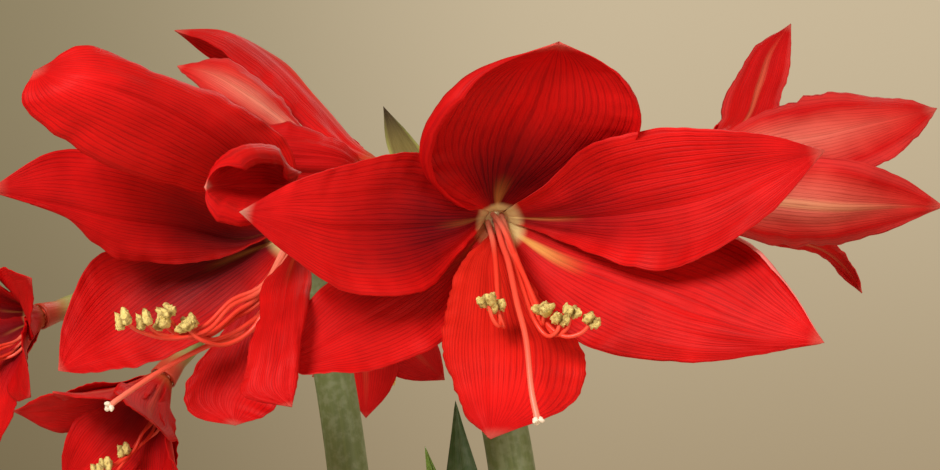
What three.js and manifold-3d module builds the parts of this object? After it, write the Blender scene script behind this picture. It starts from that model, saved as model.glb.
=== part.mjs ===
// A potted amaryllis in full bloom: a terracotta pot of soil, one large bulb, two flower scapes
// and five leaves.
// The front scape carries four open flowers, the rear scape three smaller ones.
// Millimetres, +Z up. The plant is looked at along +Y, with +X to the right.
// The origin is the middle of the underside of the pot, where the plant stands.

import * as THREE from 'three';
import { mergeVertices } from 'three/addons/utils/BufferGeometryUtils.js';
import Module from 'manifold-3d';

const wasm = await Module();
wasm.setup();

// Driving dimensions

const GAP = 0.3; // clearance between pieces that touch

const potHeight = 150;
const potRimRadius = 84;
const potFootRadius = 56;
const potWall = 7;
const potFloor = 9;
const potSides = 28;
const collarHeight = 32;
const collarStep = 4;
const drainHoleRadius = 6;
const drainHoleOffset = 30;

const soilTop = 126;
const soilMound = 3;

const bulbRadius = 53;
const bulbBottom = 80;
const bulbTop = 178;
const neckRadius = 37;
const bulbSides = 20;
const pocketDepth = 14;
const pocketBottom = bulbTop - pocketDepth;

const mouthRadius = 8.5; // middle of the wall where a flower's tube opens
const mouthWall = 1.5;
const petalLift = 0.75; // petals start this far in front of the tube's mouth
const petalSpan = 26; // half the angle that a petal's base takes on the mouth
const petalThickness = 1.2;

const frontUmbel = [-6, -15, 579]; // top of the front scape, where its pedicels meet
const rearUmbel = [-84, 100, 583];

// Finishes

function finish(colour, roughness) {
  return new THREE.MeshStandardMaterial({ color: colour, roughness, metalness: 0 });
}
const terracotta = finish(0xb5653f, 0.85);
const soil = finish(0x2c2119, 0.95);
const tunic = finish(0x7a5230, 0.7);
const stemGreen = finish(0x6f8244, 0.5);
const leafGreen = finish(0x2f4a1e, 0.45);
const youngGreen = finish(0x6d8f35, 0.45);
const bractBrown = finish(0x6a5a2c, 0.7);
const petalRed = finish(0xd8120f, 0.45);
const filamentRed = finish(0xf0452c, 0.45);
const stylePink = finish(0xf2705c, 0.4);

// Closed skins

const vector = ([x, y, z]) => new THREE.Vector3(x, y, z);

// A smooth line through chosen points, with an equal share of its run between each two.
function smooth(points, kind = 'catmullrom') {
  return new THREE.CatmullRomCurve3(points, false, kind, 0.5);
}

function geometryOf(points, faces) {
  const geometry = new THREE.BufferGeometry();
  const flat = points.flatMap((p) => [p.x, p.y, p.z]);
  geometry.setAttribute('position', new THREE.Float32BufferAttribute(flat, 3));
  geometry.setIndex(faces);
  return geometry;
}

// Triangles that close a ring of an even number of points, by strips from side to side.
function strips(first, count) {
  const half = count / 2;
  const faces = [first, first + 1, first + count - 1];
  for (let k = 1; k < half - 1; k += 1) {
    faces.push(first + k, first + k + 1, first + count - k - 1);
    faces.push(first + k, first + count - k - 1, first + count - k);
  }
  faces.push(first + half - 1, first + half, first + half + 1);
  return faces;
}

// A skin over a row of rings, each with the same even number of points that run counter-clockwise
// as seen from beyond the last ring. The first ring is closed. The last is closed too, or runs to a point.
// The two halves of a ring are folded in mirror image, so that the two sides of a thin blade never cross.
function loft(rings, point) {
  const count = rings[0].length;
  const points = rings.flat();
  const faces = strips(0, count).reverse();
  for (let ring = 0; ring < rings.length - 1; ring += 1) {
    for (let k = 0; k < count; k += 1) {
      const here = ring * count + k;
      const beside = ring * count + ((k + 1) % count);
      if (k < count / 2) {
        faces.push(here, beside, beside + count, here, beside + count, here + count);
      } else {
        faces.push(here, beside, here + count, beside, beside + count, here + count);
      }
    }
  }
  const last = (rings.length - 1) * count;
  if (point) {
    points.push(point);
    for (let k = 0; k < count; k += 1) {
      faces.push(last + k, last + ((k + 1) % count), points.length - 1);
    }
  } else {
    faces.push(...strips(last, count));
  }
  return geometryOf(points, faces);
}

// Round rings at stations of { centre, direction, radius }. One spoke is carried from ring to ring and
// turns only as the direction does, so the skin over the rings isn't twisted.
function roundRings(stations, sides) {
  const first = stations[0].direction;
  const helper = Math.abs(first.z) < 0.9 ? new THREE.Vector3(0, 0, 1) : new THREE.Vector3(1, 0, 0);
  const spoke = new THREE.Vector3().crossVectors(first, helper).normalize();
  let previous = first;
  return stations.map(({ centre, direction, radius }) => {
    spoke.applyQuaternion(new THREE.Quaternion().setFromUnitVectors(previous, direction));
    previous = direction;
    const ring = [];
    for (let k = 0; k < sides; k += 1) {
      const angle = (k / sides) * 2 * Math.PI;
      ring.push(spoke.clone().applyAxisAngle(direction, angle).multiplyScalar(radius).add(centre));
    }
    return ring;
  });
}

// A round stem along a smooth line, with a radius that depends on how far along it is, from 0 to 1.
function stem(line, radiusAt, steps, sides, clearance = 0) {
  const stations = [];
  for (let step = 0; step <= steps; step += 1) {
    const along = step / steps;
    stations.push({
      centre: line.getPoint(along),
      direction: line.getTangent(along).normalize(),
      radius: radiusAt(along) + clearance,
    });
  }
  return loft(roundRings(stations, sides));
}

// A turned shape from a closed or axis-to-axis outline of [radius, height] points.
function turned(outline, sides) {
  const points = outline.map(([radius, height]) => new THREE.Vector2(radius, height));
  return new THREE.LatheGeometry(points, sides).rotateX(Math.PI / 2);
}

// Joins and cuts

function solid(geometry) {
  const bare = geometry.clone();
  bare.deleteAttribute('normal');
  bare.deleteAttribute('uv');
  const merged = mergeVertices(bare, 1e-4);
  const index = [];
  for (let k = 0; k < merged.index.count; k += 3) {
    const corners = [0, 1, 2].map((c) => merged.index.getX(k + c));
    if (new Set(corners).size === 3) {
      index.push(...corners);
    }
  }
  const mesh = new wasm.Mesh({
    numProp: 3,
    vertProperties: new Float32Array(merged.attributes.position.array),
    triVerts: new Uint32Array(index),
  });
  return new wasm.Manifold(mesh);
}

function skin(body) {
  const mesh = body.getMesh();
  const geometry = new THREE.BufferGeometry();
  geometry.setAttribute('position', new THREE.BufferAttribute(new Float32Array(mesh.vertProperties), 3));
  geometry.setIndex(new THREE.BufferAttribute(new Uint32Array(mesh.triVerts), 1));
  return geometry;
}

const plant = new THREE.Group();

function add(name, geometry, material) {
  const mesh = new THREE.Mesh(geometry, material);
  mesh.name = name;
  plant.add(mesh);
}

// Scapes: the two round stems that rise from the bulb's neck, each through points chosen on its run

const scapeSides = 12;
const scapeSteps = 12;
const frontScape = {
  line: smooth([
    [22, -8, pocketBottom + GAP], [23, -12, 260], [19, -17, 380], [9, -20, 490], [0, -18, 542], frontUmbel,
  ].map(vector)),
  radiusAt: (along) => 11.5 - 2.3 * along,
};
const rearScape = {
  line: smooth([
    [-24, 8, pocketBottom + GAP], [-30, 24, 250], [-45, 56, 350], [-61, 84, 440], [-72, 97, 515], rearUmbel,
  ].map(vector)),
  radiusAt: (along) => 11 - 1.4 * along,
};

function scapeSkin(scape, clearance = 0) {
  return stem(scape.line, scape.radiusAt, scapeSteps, scapeSides, clearance);
}
add('front_scape', scapeSkin(frontScape), stemGreen);
add('rear_scape', scapeSkin(rearScape), stemGreen);

// Leaves: strap-shaped blades, one behind the other in the neck. Each has a rib line, and half widths
// along it. The blade lies square to its rib, with its flat side towards the way that it faces.

const leafThickness = 3.6;
const leafTrough = 0.18; // depth of the channel along the rib, for each millimetre of half width
const leafSteps = 10;
const flatAcross = [-1, -0.5, 0, 0.5, 1];
const leaves = {
  tall_leaf: {
    rib: [[-1, -8, pocketBottom + GAP], [-4, -20, 240], [-8, -28, 320], [-10, -32, 400], [-11, -32, 470],
      [-16, -30, 532]],
    halfWidths: [10.5, 14, 17, 17, 12.5, 0],
    faces: [0, 1, 0],
    finish: leafGreen,
  },
  young_leaf: {
    rib: [[0, 0, pocketBottom + GAP], [-2, -1, 240], [-6, -4, 320], [-11, -7, 400], [-18, -9, 465],
      [-29, -10, 511]],
    halfWidths: [10, 12, 13, 12, 8, 0],
    faces: [0, 1, 0],
    finish: youngGreen,
  },
  front_left_leaf: {
    rib: [[-2, -16, pocketBottom + GAP], [-8, -36, 250], [-24, -77, 330], [-52, -128, 370], [-84, -176, 350],
      [-110, -208, 300]],
    halfWidths: [10.5, 18, 20.5, 19, 13, 0],
    faces: [0.3, 1, 0],
    finish: leafGreen,
  },
  back_right_leaf: {
    rib: [[2, 16, pocketBottom + GAP], [8, 34, 250], [26, 76, 330], [56, 128, 366], [92, 176, 344],
      [118, 206, 300]],
    halfWidths: [10.5, 18, 20.5, 19, 13, 0],
    faces: [-0.3, -1, 0],
    finish: leafGreen,
  },
  back_leaf: {
    rib: [[0, 8, pocketBottom + GAP], [2, 16, 250], [6, 32, 340], [8, 58, 410], [4, 92, 448], [-4, 132, 456]],
    halfWidths: [10.5, 16, 19, 19, 14, 0],
    faces: [0, -1, 0],
    finish: leafGreen,
  },
};

// The two sides of a thin blade share their edge points, so a ring starts at the left edge, crosses the front
// to the right edge, and comes back behind.
function bladeRing(centres, normals, halfThicknesses) {
  const last = centres.length - 1;
  const side = (k, sign) => centres[k].clone().addScaledVector(normals[k], sign * halfThicknesses[k]);
  const ring = [centres[0]];
  for (let k = 1; k < last; k += 1) {
    ring.push(side(k, 1));
  }
  ring.push(centres[last]);
  for (let k = last - 1; k > 0; k -= 1) {
    ring.push(side(k, -1));
  }
  return ring;
}

function leafSkin(leaf, clearance = 0) {
  const line = smooth(leaf.rib.map(vector));
  const widths = smooth(leaf.halfWidths.map((width) => new THREE.Vector3(width, 0, 0)));
  const rings = [];
  for (let step = 0; step < leafSteps; step += 1) {
    const along = step / leafSteps;
    const centre = line.getPoint(along);
    const forward = line.getTangent(along).normalize();
    const right = new THREE.Vector3().crossVectors(forward, vector(leaf.faces)).normalize();
    const front = new THREE.Vector3().crossVectors(right, forward);
    const halfWidth = widths.getPoint(along).x + clearance;
    const trough = leafTrough * halfWidth;
    const centres = flatAcross.map((v) => centre.clone()
      .addScaledVector(right, v * halfWidth)
      .addScaledVector(front, trough * (v * v - 0.5)));
    const thinning = 1 - 0.5 * along;
    const halves = flatAcross.map((v) => (1 - v * v) * leafThickness * 0.5 * thinning + clearance);
    rings.push(bladeRing(centres, flatAcross.map(() => front), halves));
  }
  return loft(rings, line.getPoint(1));
}
for (const [name, leaf] of Object.entries(leaves)) {
  add(name, leafSkin(leaf), leaf.finish);
}

// Pot, soil and bulb

const collarBottom = potHeight - collarHeight;
const wallTopRadius = potRimRadius - collarStep;
const wallRadiusAt = (height) => potFootRadius + ((wallTopRadius - potFootRadius) * height) / potHeight;
const insideRadiusAt = (height) => wallRadiusAt(height) - potWall;

function potSolid() {
  const outline = [
    [0, 0], [potFootRadius, 0], [wallRadiusAt(collarBottom), collarBottom],
    [wallRadiusAt(collarBottom) + collarStep, collarBottom + 3], [potRimRadius, potHeight - 3],
    [potRimRadius - 2, potHeight], [insideRadiusAt(potHeight) + 2, potHeight],
    [insideRadiusAt(potHeight), potHeight - 2], [insideRadiusAt(potFloor), potFloor], [0, potFloor],
  ];
  let pot = solid(turned(outline, potSides));
  for (let k = 0; k < 3; k += 1) {
    const angle = (k / 3) * 2 * Math.PI;
    const hole = new THREE.CylinderGeometry(drainHoleRadius, drainHoleRadius, 3 * potFloor, 12);
    hole.rotateX(Math.PI / 2);
    hole.translate(drainHoleOffset * Math.cos(angle), drainHoleOffset * Math.sin(angle), 0);
    pot = pot.subtract(solid(hole));
  }
  return pot;
}
add('pot', skin(potSolid()), terracotta);

function bulbSkin(clearance = 0) {
  const outline = [
    [0, bulbBottom - clearance], [22, bulbBottom - clearance], [40, bulbBottom + 14],
    [50, bulbBottom + 30], [bulbRadius, bulbBottom + 48], [50, bulbBottom + 66], [44, bulbBottom + 80],
    [neckRadius + 2, bulbTop - 8], [neckRadius, bulbTop + clearance], [0, bulbTop + clearance],
  ];
  return turned(outline.map(([radius, height]) => [radius ? radius + clearance : 0, height]), bulbSides);
}

function soilSolid() {
  const outline = [
    [0, potFloor + GAP], [insideRadiusAt(potFloor) - GAP, potFloor + GAP],
    [insideRadiusAt(soilTop) - GAP, soilTop], [bulbRadius + 4, soilTop + soilMound], [0, soilTop + soilMound],
  ];
  return solid(turned(outline, potSides)).subtract(solid(bulbSkin(GAP)));
}
add('potting_soil', skin(soilSolid()), soil);

function bulbSolid() {
  let bulb = solid(bulbSkin());
  for (const scape of [frontScape, rearScape]) {
    bulb = bulb.subtract(solid(scapeSkin(scape, GAP)));
  }
  for (const leaf of Object.values(leaves)) {
    bulb = bulb.subtract(solid(leafSkin(leaf, GAP)));
  }
  return bulb;
}
add('bulb', skin(bulbSolid()), tunic);

// Petals: each is a thin blade over three lines that run from the tube's mouth to the tip. The left and
// right lines are its edges as seen from the front of the flower, and the rib is between them. The points
// are [right, back, up] from the middle of the mouth. A roll turns an edge over, by degrees for the left
// and the right.

const petalSteps = 7;
const rollStart = 0.84; // an edge that rolls over starts to turn here, counted from the rib
const rolledAcross = [-1, -0.92, -rollStart, -0.45, 0, 0.45, rollStart, 0.92, 1];
const rollRun = 0.25; // share of the length in which a roll grows, and at the tip in which it ends

// The flower's own directions: where it faces, and its side and up as seen from its front.
function directionsOf(flower) {
  const facing = vector(flower.facing).normalize();
  const up = new THREE.Vector3(0, 0, 1).addScaledVector(facing, -facing.z).normalize();
  const side = new THREE.Vector3().crossVectors(up, facing);
  return { facing, up, side };
}

function spokeAt(flower, azimuth) {
  const { up, side } = directionsOf(flower);
  const angle = THREE.MathUtils.degToRad(azimuth);
  return side.multiplyScalar(Math.cos(angle)).addScaledVector(up, Math.sin(angle));
}

function mouthPoint(flower, azimuth) {
  return spokeAt(flower, azimuth)
    .multiplyScalar(mouthRadius)
    .addScaledVector(directionsOf(flower).facing, petalLift);
}

function petalLines(flower, petal) {
  const span = petal.span ?? petalSpan;
  const line = (azimuth, points) => smooth([
    mouthPoint(flower, azimuth), ...points.map(vector), vector(petal.tip),
  ]);
  return {
    left: line(petal.azimuth + span, petal.left),
    rib: line(petal.azimuth, petal.rib),
    right: line(petal.azimuth - span, petal.right),
  };
}

// One cross-section: a parabola through the three lines, and then an arc where an edge rolls over.
function petalSection(lines, along, petal) {
  const left = lines.left.getPoint(along);
  const rib = lines.rib.getPoint(along);
  const right = lines.right.getPoint(along);
  const forward = lines.rib.getTangent(along);
  const halfChord = right.clone().sub(left).multiplyScalar(0.5);
  const bend = right.clone().add(left).multiplyScalar(0.5).sub(rib);
  const slopeAt = (v) => halfChord.clone().addScaledVector(bend, 2 * v);
  const normalAt = (v) => slopeAt(v).cross(forward).normalize();
  const roll = petal.roll ?? [0, 0];
  const fade = 0.08 + 0.92 * Math.min(along / rollRun, 1) * Math.min((1 - along) / rollRun, 1);
  const centres = [];
  const normals = [];
  for (const v of petal.roll ? rolledAcross : flatAcross) {
    const edge = Math.sign(v);
    const turn = THREE.MathUtils.degToRad(roll[v < 0 ? 0 : 1]) * fade;
    const plain = turn === 0 ? v : THREE.MathUtils.clamp(v / rollStart, -1, 1);
    const point = rib.clone().addScaledVector(halfChord, plain).addScaledVector(bend, plain * plain);
    const normal = normalAt(plain);
    const rolled = turn === 0 ? 0 : Math.max(0, (Math.abs(v) - rollStart) / (1 - rollStart));
    if (rolled > 0) {
      const radius = petal.rollRadius * fade;
      const angle = Math.abs(turn) * rolled;
      const outward = slopeAt(edge).multiplyScalar(edge).normalize();
      const inward = normal.clone().multiplyScalar(Math.sign(turn));
      point.addScaledVector(outward, radius * Math.sin(angle));
      point.addScaledVector(inward, radius * (1 - Math.cos(angle)));
      normal.multiplyScalar(Math.cos(angle)).addScaledVector(outward, -Math.sin(angle) * Math.sign(turn));
    }
    centres.push(point);
    normals.push(normal);
  }
  const thinning = 1 - 0.4 * along;
  const count = centres.length - 1;
  const halves = centres.map((_, k) => (1 - (2 * k / count - 1) ** 2) * petalThickness * 0.5 * thinning);
  return bladeRing(centres, normals, halves);
}

function bladeSkin(lines, petal, steps) {
  const rings = [];
  for (let step = 0; step < steps; step += 1) {
    rings.push(petalSection(lines, step / steps, petal));
  }
  return loft(rings, lines.rib.getPoint(1));
}

function petalSkin(flower, petal, steps = petalSteps) {
  return bladeSkin(petalLines(flower, petal), petal, steps).translate(...flower.throat);
}

// A petal that opens by a rule, for the ones that hide behind others: it leaves the mouth at a small angle
// to the way the flower faces, and turns outwards to its full opening at the tip.
const baseOpening = 18;
function openPetal(flower, { azimuth, span, length, halfWidth, opening }) {
  const { facing } = directionsOf(flower);
  const spoke = spokeAt(flower, azimuth);
  const aside = spokeAt(flower, azimuth + 90);
  const widths = [0.55, 0.92, 1, 0.68, 0];
  const petal = { azimuth, span, left: [], rib: [], right: [] };
  const point = mouthPoint(flower, azimuth);
  widths.forEach((share, k) => {
    const reach = (k + 1) / widths.length;
    const angle = THREE.MathUtils.degToRad(baseOpening + (opening - baseOpening) * reach);
    const ahead = facing.clone().multiplyScalar(Math.cos(angle)).addScaledVector(spoke, Math.sin(angle));
    point.addScaledVector(ahead, length / widths.length);
    const inner = facing.clone().multiplyScalar(Math.sin(angle)).addScaledVector(spoke, -Math.cos(angle));
    const edge = (sign) => point.clone()
      .addScaledVector(aside, sign * share * halfWidth)
      .addScaledVector(inner, 0.3 * (1 - 0.8 * reach) * share * halfWidth)
      .toArray();
    petal.left.push(edge(1));
    petal.rib.push(point.toArray());
    petal.right.push(edge(-1));
  });
  petal.tip = petal.rib.pop();
  petal.left.pop();
  petal.right.pop();
  return petal;
}

// Stalks: pedicel, ovary and the short tube of a flower in one piece. The pedicel leaves the umbel upwards
// and comes to the tube from behind.

const pedicelRadius = 3.4;
const ovaryRadius = 6.4;
const tubeNeckRadius = 5;
const tubeDepth = 14;
const tubeFloorRadius = 3.2;
const stalkSides = 10;
const pedicelRise = 14;
const pedicelLean = 3;
const stalkReach = 42; // how far behind the mouth the stalk comes in line with the tube
const footSpread = 5.1; // the pedicels of one umbel stand at this distance from its middle

function stalkRadiusAt(along) {
  const profile = [[0, pedicelRadius], [0.5, pedicelRadius], [0.6, ovaryRadius - 1], [0.7, ovaryRadius],
    [0.8, ovaryRadius - 0.6], [0.87, tubeNeckRadius], [1, mouthRadius + mouthWall / 2]];
  const next = profile.findIndex(([place]) => place >= along - 1e-9);
  if (next === 0) {
    return profile[0][1];
  }
  const [fromPlace, fromRadius] = profile[next - 1];
  const [toPlace, toRadius] = profile[next];
  return fromRadius + ((toRadius - fromRadius) * (along - fromPlace)) / (toPlace - fromPlace);
}

// The tube narrows inwards from its mouth to its floor.
function tubeInsideAt(depth) {
  const widest = mouthRadius - mouthWall / 2;
  return widest + ((tubeFloorRadius - widest) * depth) / tubeDepth;
}

// The pedicels of one umbel stand side by side on the scape's top, each at its own place around it.
function stalkSkin(flower, umbel) {
  const { facing } = directionsOf(flower);
  const mouth = vector(flower.throat);
  const outwards = vector([1, 0, 0]).addScaledVector(umbel.up, -umbel.up.x).normalize();
  outwards.applyAxisAngle(umbel.up, THREE.MathUtils.degToRad(flower.foot));
  const foot = vector(umbel.top).addScaledVector(outwards, footSpread).addScaledVector(umbel.up, GAP);
  const rise = foot.clone().addScaledVector(umbel.up, pedicelRise).addScaledVector(outwards, pedicelLean);
  const behind = (distance) => mouth.clone().addScaledVector(facing, -distance);
  const line = smooth([foot, rise, behind(stalkReach), behind(stalkReach / 2), mouth], 'centripetal');
  const stations = [0, 0.12, 0.25, 0.38, 0.5, 0.6, 0.7, 0.8, 0.87, 0.94, 1].map((along) => ({
    centre: line.getPoint(along),
    direction: line.getTangent(along).normalize(),
    radius: stalkRadiusAt(along),
  }));
  stations[0].direction = umbel.up;
  stations[stations.length - 1].direction = facing;
  for (const depth of [0, tubeDepth / 2, tubeDepth]) {
    stations.push({ centre: behind(depth), direction: facing, radius: tubeInsideAt(depth) });
  }
  return loft(roundRings(stations, stalkSides));
}

// Stamens and pistil: six filaments on a low ring in the tube's mouth, and a style that stands on the tube's
// floor and passes through the ring. A filament's points are [right, back, up] from the middle of the mouth.

const filamentRadius = 0.8;
const strandSides = 4;
const filamentSteps = 6;
const styleSteps = 12;
const styleRadius = 1.15;
const antherLength = 7.5;
const antherRadius = 2;
const stigmaRadius = 1.3;
const ringTop = -2;
const ringHeight = 3;
const ringInside = styleRadius + 1.1;
const filamentCircle = 4.3; // the filaments stand on the ring at this radius

function place(geometry, origin, direction) {
  const turn = new THREE.Quaternion().setFromUnitVectors(new THREE.Vector3(0, 0, 1), direction);
  return geometry.applyQuaternion(turn).translate(origin.x, origin.y, origin.z);
}

function antherAt(end, direction) {
  const anther = new THREE.SphereGeometry(1, 6, 3).scale(antherRadius, antherRadius, antherLength / 2);
  return place(anther.rotateX(Math.PI / 2), end, direction);
}

function stamensSolid(flower) {
  const { facing } = directionsOf(flower);
  const low = ringTop - ringHeight;
  const outline = [
    [ringInside, low], [tubeInsideAt(-low) * Math.cos(Math.PI / stalkSides) - GAP, low],
    [tubeInsideAt(-ringTop) * Math.cos(Math.PI / stalkSides) - GAP, ringTop], [ringInside, ringTop],
    [ringInside, low],
  ];
  let stamens = solid(place(turned(outline, stalkSides), vector([0, 0, 0]), facing));
  for (const [azimuth, points] of Object.entries(flower.filaments)) {
    const foot = spokeAt(flower, Number(azimuth))
      .multiplyScalar(filamentCircle)
      .addScaledVector(facing, ringTop - 1);
    const line = smooth([foot, ...points.map(vector)]);
    stamens = stamens.add(solid(stem(line, () => filamentRadius, filamentSteps, strandSides)));
    const forward = line.getTangent(1).normalize();
    stamens = stamens.add(solid(antherAt(line.getPoint(1), forward)));
  }
  return skin(stamens).translate(...flower.throat);
}

function pistilSolid(flower) {
  const { facing } = directionsOf(flower);
  const foot = facing.clone().multiplyScalar(GAP - tubeDepth);
  const collar = facing.clone().multiplyScalar(ringTop + 2);
  const line = smooth([foot, collar, ...flower.style.map(vector)]);
  let pistil = solid(stem(line, () => styleRadius, styleSteps, strandSides + 2));
  const end = line.getPoint(1);
  const forward = line.getTangent(1).normalize();
  for (let k = 0; k < 3; k += 1) {
    const lobe = new THREE.SphereGeometry(stigmaRadius, 5, 3);
    const [ring] = roundRings([{ centre: end, direction: forward, radius: stigmaRadius }], 3);
    pistil = pistil.add(solid(lobe.translate(ring[k].x, ring[k].y, ring[k].z)));
  }
  return skin(pistil).translate(...flower.throat);
}

// The flower at the front of the plant, wide open and nearly flat

const frontFlower = {
  throat: [0, -85, 605],
  facing: [0.02, -0.97, -0.22],
  foot: 335,
  petals: {
    top: {
      azimuth: 90,
      left: [[-11, -14, 10], [-24, -33, 22], [-23, -48, 37], [-8, -58, 52]],
      rib: [[2, -11, 13], [7, -27, 26], [13, -41, 40], [17, -53, 53]],
      right: [[19, -10, 12], [39, -27, 23], [48, -46, 37], [40, -57, 53]],
      tip: [21, -69, 62],
      roll: [150, 100],
      rollRadius: 3.2,
    },
    upper_right: {
      azimuth: 30,
      left: [[18, -22, 14], [36, -41, 29], [62, -50, 33], [91, -58, 31]],
      rib: [[25, -15, 1], [50, -33, 3], [74, -47, 8], [96, -55, 17]],
      right: [[22, -12, -6], [46, -35, -16], [72, -51, -14], [98, -58, 5]],
      tip: [116, -55, 25],
    },
    lower_right: {
      azimuth: -30,
      left: [[26, -3, -3], [57, -17, -4], [87, -35, -10], [102, -49, -25]],
      rib: [[25, -11, -15], [53, -29, -26], [75, -43, -34], [96, -53, -40]],
      right: [[16, -11, -26], [38, -31, -42], [69, -43, -49], [95, -53, -47]],
      tip: [115, -59, -43],
      roll: [120, 0],
      rollRadius: 2,
    },
    bottom: {
      azimuth: -90,
      left: [[7, -13, -15], [18, -27, -31], [31, -41, -48], [26, -55, -65]],
      rib: [[-3, -12, -15], [-3, -31, -31], [-3, -48, -47], [-3, -60, -63]],
      right: [[-14, -14, -17], [-19, -30, -33], [-19, -44, -51], [-12, -57, -67]],
      tip: [-3, -69, -76],
    },
    lower_left: {
      azimuth: -150,
      left: [[-9, -11, -26], [-21, -25, -45], [-46, -37, -54], [-67, -45, -55]],
      rib: [[-16, -9, -16], [-34, -23, -28], [-53, -31, -39], [-69, -37, -48]],
      right: [[-25, -5, -7], [-47, -15, -14], [-65, -27, -25], [-76, -35, -39]],
      tip: [-80, -41, -52],
    },
    upper_left: {
      azimuth: 150,
      left: [[-15, -14, -13], [-28, -35, -26], [-53, -53, -25], [-75, -65, -11]],
      rib: [[-17, -15, -1], [-38, -35, -3], [-58, -53, -3], [-75, -65, 1]],
      right: [[-13, -13, 17], [-29, -31, 25], [-51, -49, 21], [-71, -63, 14]],
      tip: [-90, -71, 3],
    },
  },
  filaments: {
    0: [[4.5, -16, -8], [9.5, -37, -19.5], [16, -53, -34.5], [22.5, -59, -40.5],
      [29, -61, -39.5], [33, -62, -35]],
    60: [[5, -14, -7], [8.5, -33, -17], [14.5, -49, -31], [19.5, -57, -40],
      [24, -60, -38], [26, -61, -31.5]],
    120: [[2.5, -12, -2.5], [7.5, -29, -15.5], [12, -45, -28.5], [15.5, -53, -36.5],
      [16, -56, -35], [16, -57, -31]],
    180: [[-1.5, -15, -7], [-0.5, -35, -16.5], [0, -49, -28.5], [0.5, -56, -37],
      [-2, -58, -34.5], [-4, -58, -28]],
    240: [[-1, -17, -8.5], [0, -35, -18.5], [1, -47, -30], [2, -53, -37.5],
      [1, -55, -35], [-0.5, -55, -30]],
    300: [[4, -18, -9.5], [8, -39, -21.5], [12.5, -53, -34.5], [17, -58, -40.5],
      [20.5, -60, -39], [22, -60, -34.5]],
  },
  style: [[2, -20, -8.5], [4, -36, -15], [6.5, -57, -28.5], [9.5, -69, -41.5],
      [11, -79, -58], [13, -83, -68]],
};

// The flower at the left, seen from its side as it faces left and forward

const leftFlower = {
  throat: [-78, -68, 602],
  facing: [-0.68, -0.64, -0.36],
  foot: 245,
  petals: {
    top: {
      azimuth: 90,
      left: [[-21, -6, 12], [-44, -34, 16], [-70, -54, 27], [-91, -66, 43]],
      rib: [[-13, -16, 21], [-30, -42, 36], [-51, -62, 47], [-71, -70, 53]],
      right: [[-1, -14, 31], [-17, -28, 45], [-46, -46, 58], [-71, -58, 66]],
      tip: [-89, -62, 57],
    },
    far_upper: {
      azimuth: 150,
      left: [[-23, 4, -8], [-42, 2, -13], [-68, -6, -11], [-89, -20, 7]],
      rib: [[-23, 8, -3], [-44, 2, 1], [-67, -12, 4], [-90, -22, 10]],
      right: [[-23, 12, 6], [-42, 4, 18], [-67, -10, 28], [-90, -22, 30]],
      tip: [-113, -32, 15],
    },
    far_lower: {
      azimuth: 210,
      left: [[-21, 8, -22], [-35, 6, -36], [-57, 0, -50], [-77, -2, -56]],
      rib: [[-31, 16, -13], [-54, 18, -24], [-72, 12, -38], [-85, 4, -48]],
      right: [[-30, 24, -4], [-61, 24, -6], [-82, 16, -11], [-92, 6, -34]],
      tip: [-93, -2, -55],
    },
    bottom: {
      azimuth: 270,
      left: [[-6, -2, -27], [-4, -4, -44], [-3, -8, -60], [-10, -14, -71]],
      rib: [[-15, 2, -25], [-21, 0, -40], [-26, -6, -54], [-30, -12, -66]],
      right: [[-21, 2, -29], [-33, 0, -46], [-43, -6, -62], [-38, -12, -72]],
      tip: [-22, -17, -75],
    },
    near_lower: {
      azimuth: 330,
      left: [[6, -32, -15], [7, -56, -29], [6, -67, -43], [5, -72, -55]],
      rib: [[0, -30, -17], [0, -56, -31], [-1, -68, -45], [-2, -72, -56]],
      right: [[-9, -24, -19], [-10, -50, -32], [-12, -64, -47], [-13, -70, -59]],
      tip: [5, -74, -63],
      roll: [-100, 0],
      rollRadius: 2,
    },
    near_upper: {
      azimuth: 30,
      left: [[-1, -28, 23], [-5, -36, 30], [-14, -48, 31], [-23, -60, 24]],
      rib: [[1, -22, 13], [-4, -28, 16], [-13, -38, 17], [-21, -52, 16]],
      right: [[5, -38, 9], [-3, -54, 11], [-12, -65, 8], [-23, -71, 11]],
      tip: [-26, -72, 15],
      roll: [-170, 110],
      rollRadius: 5,
    },
  },
  filaments: {
    0: [[-10, -17, -21.5], [-22.5, -24, -29], [-31, -30, -38], [-43.5, -38, -40.5],
      [-53, -48, -37.5], [-58.5, -54, -33]],
    60: [[-10.5, -14, -20], [-23, -19, -27], [-32, -24, -36], [-40, -29, -39],
      [-43, -34, -35.5], [-45, -37, -30.5]],
    120: [[-12, -11, -23], [-21.5, -17, -31.5], [-30.5, -24, -39], [-40.5, -34, -40],
      [-47.5, -42, -38.5], [-52, -47, -33.5]],
    180: [[-11.5, -10, -25.5], [-22.5, -16, -34], [-31.5, -23, -40.5], [-38.5, -29, -40.5],
      [-43, -34, -38.5], [-47, -37, -34.5]],
    240: [[-10.5, -10, -28.5], [-18.5, -17, -37], [-28, -21, -41.5], [-33, -26, -41],
      [-35.5, -29, -39], [-37.5, -31, -35]],
    300: [[-8.5, -19, -27.5], [-15.5, -22, -38.5], [-24.5, -26, -43.5], [-31.5, -32, -42],
      [-36, -34, -39], [-38.5, -35, -35.5]],
  },
  style: [[-8, -14, -31.5], [-20.5, -14, -40.5], [-32.5, -21, -44.5], [-46.5, -31, -52],
      [-60, -49, -61.5], [-63.5, -53, -64.5]],
};

// The flower at the back left, seen from behind

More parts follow.
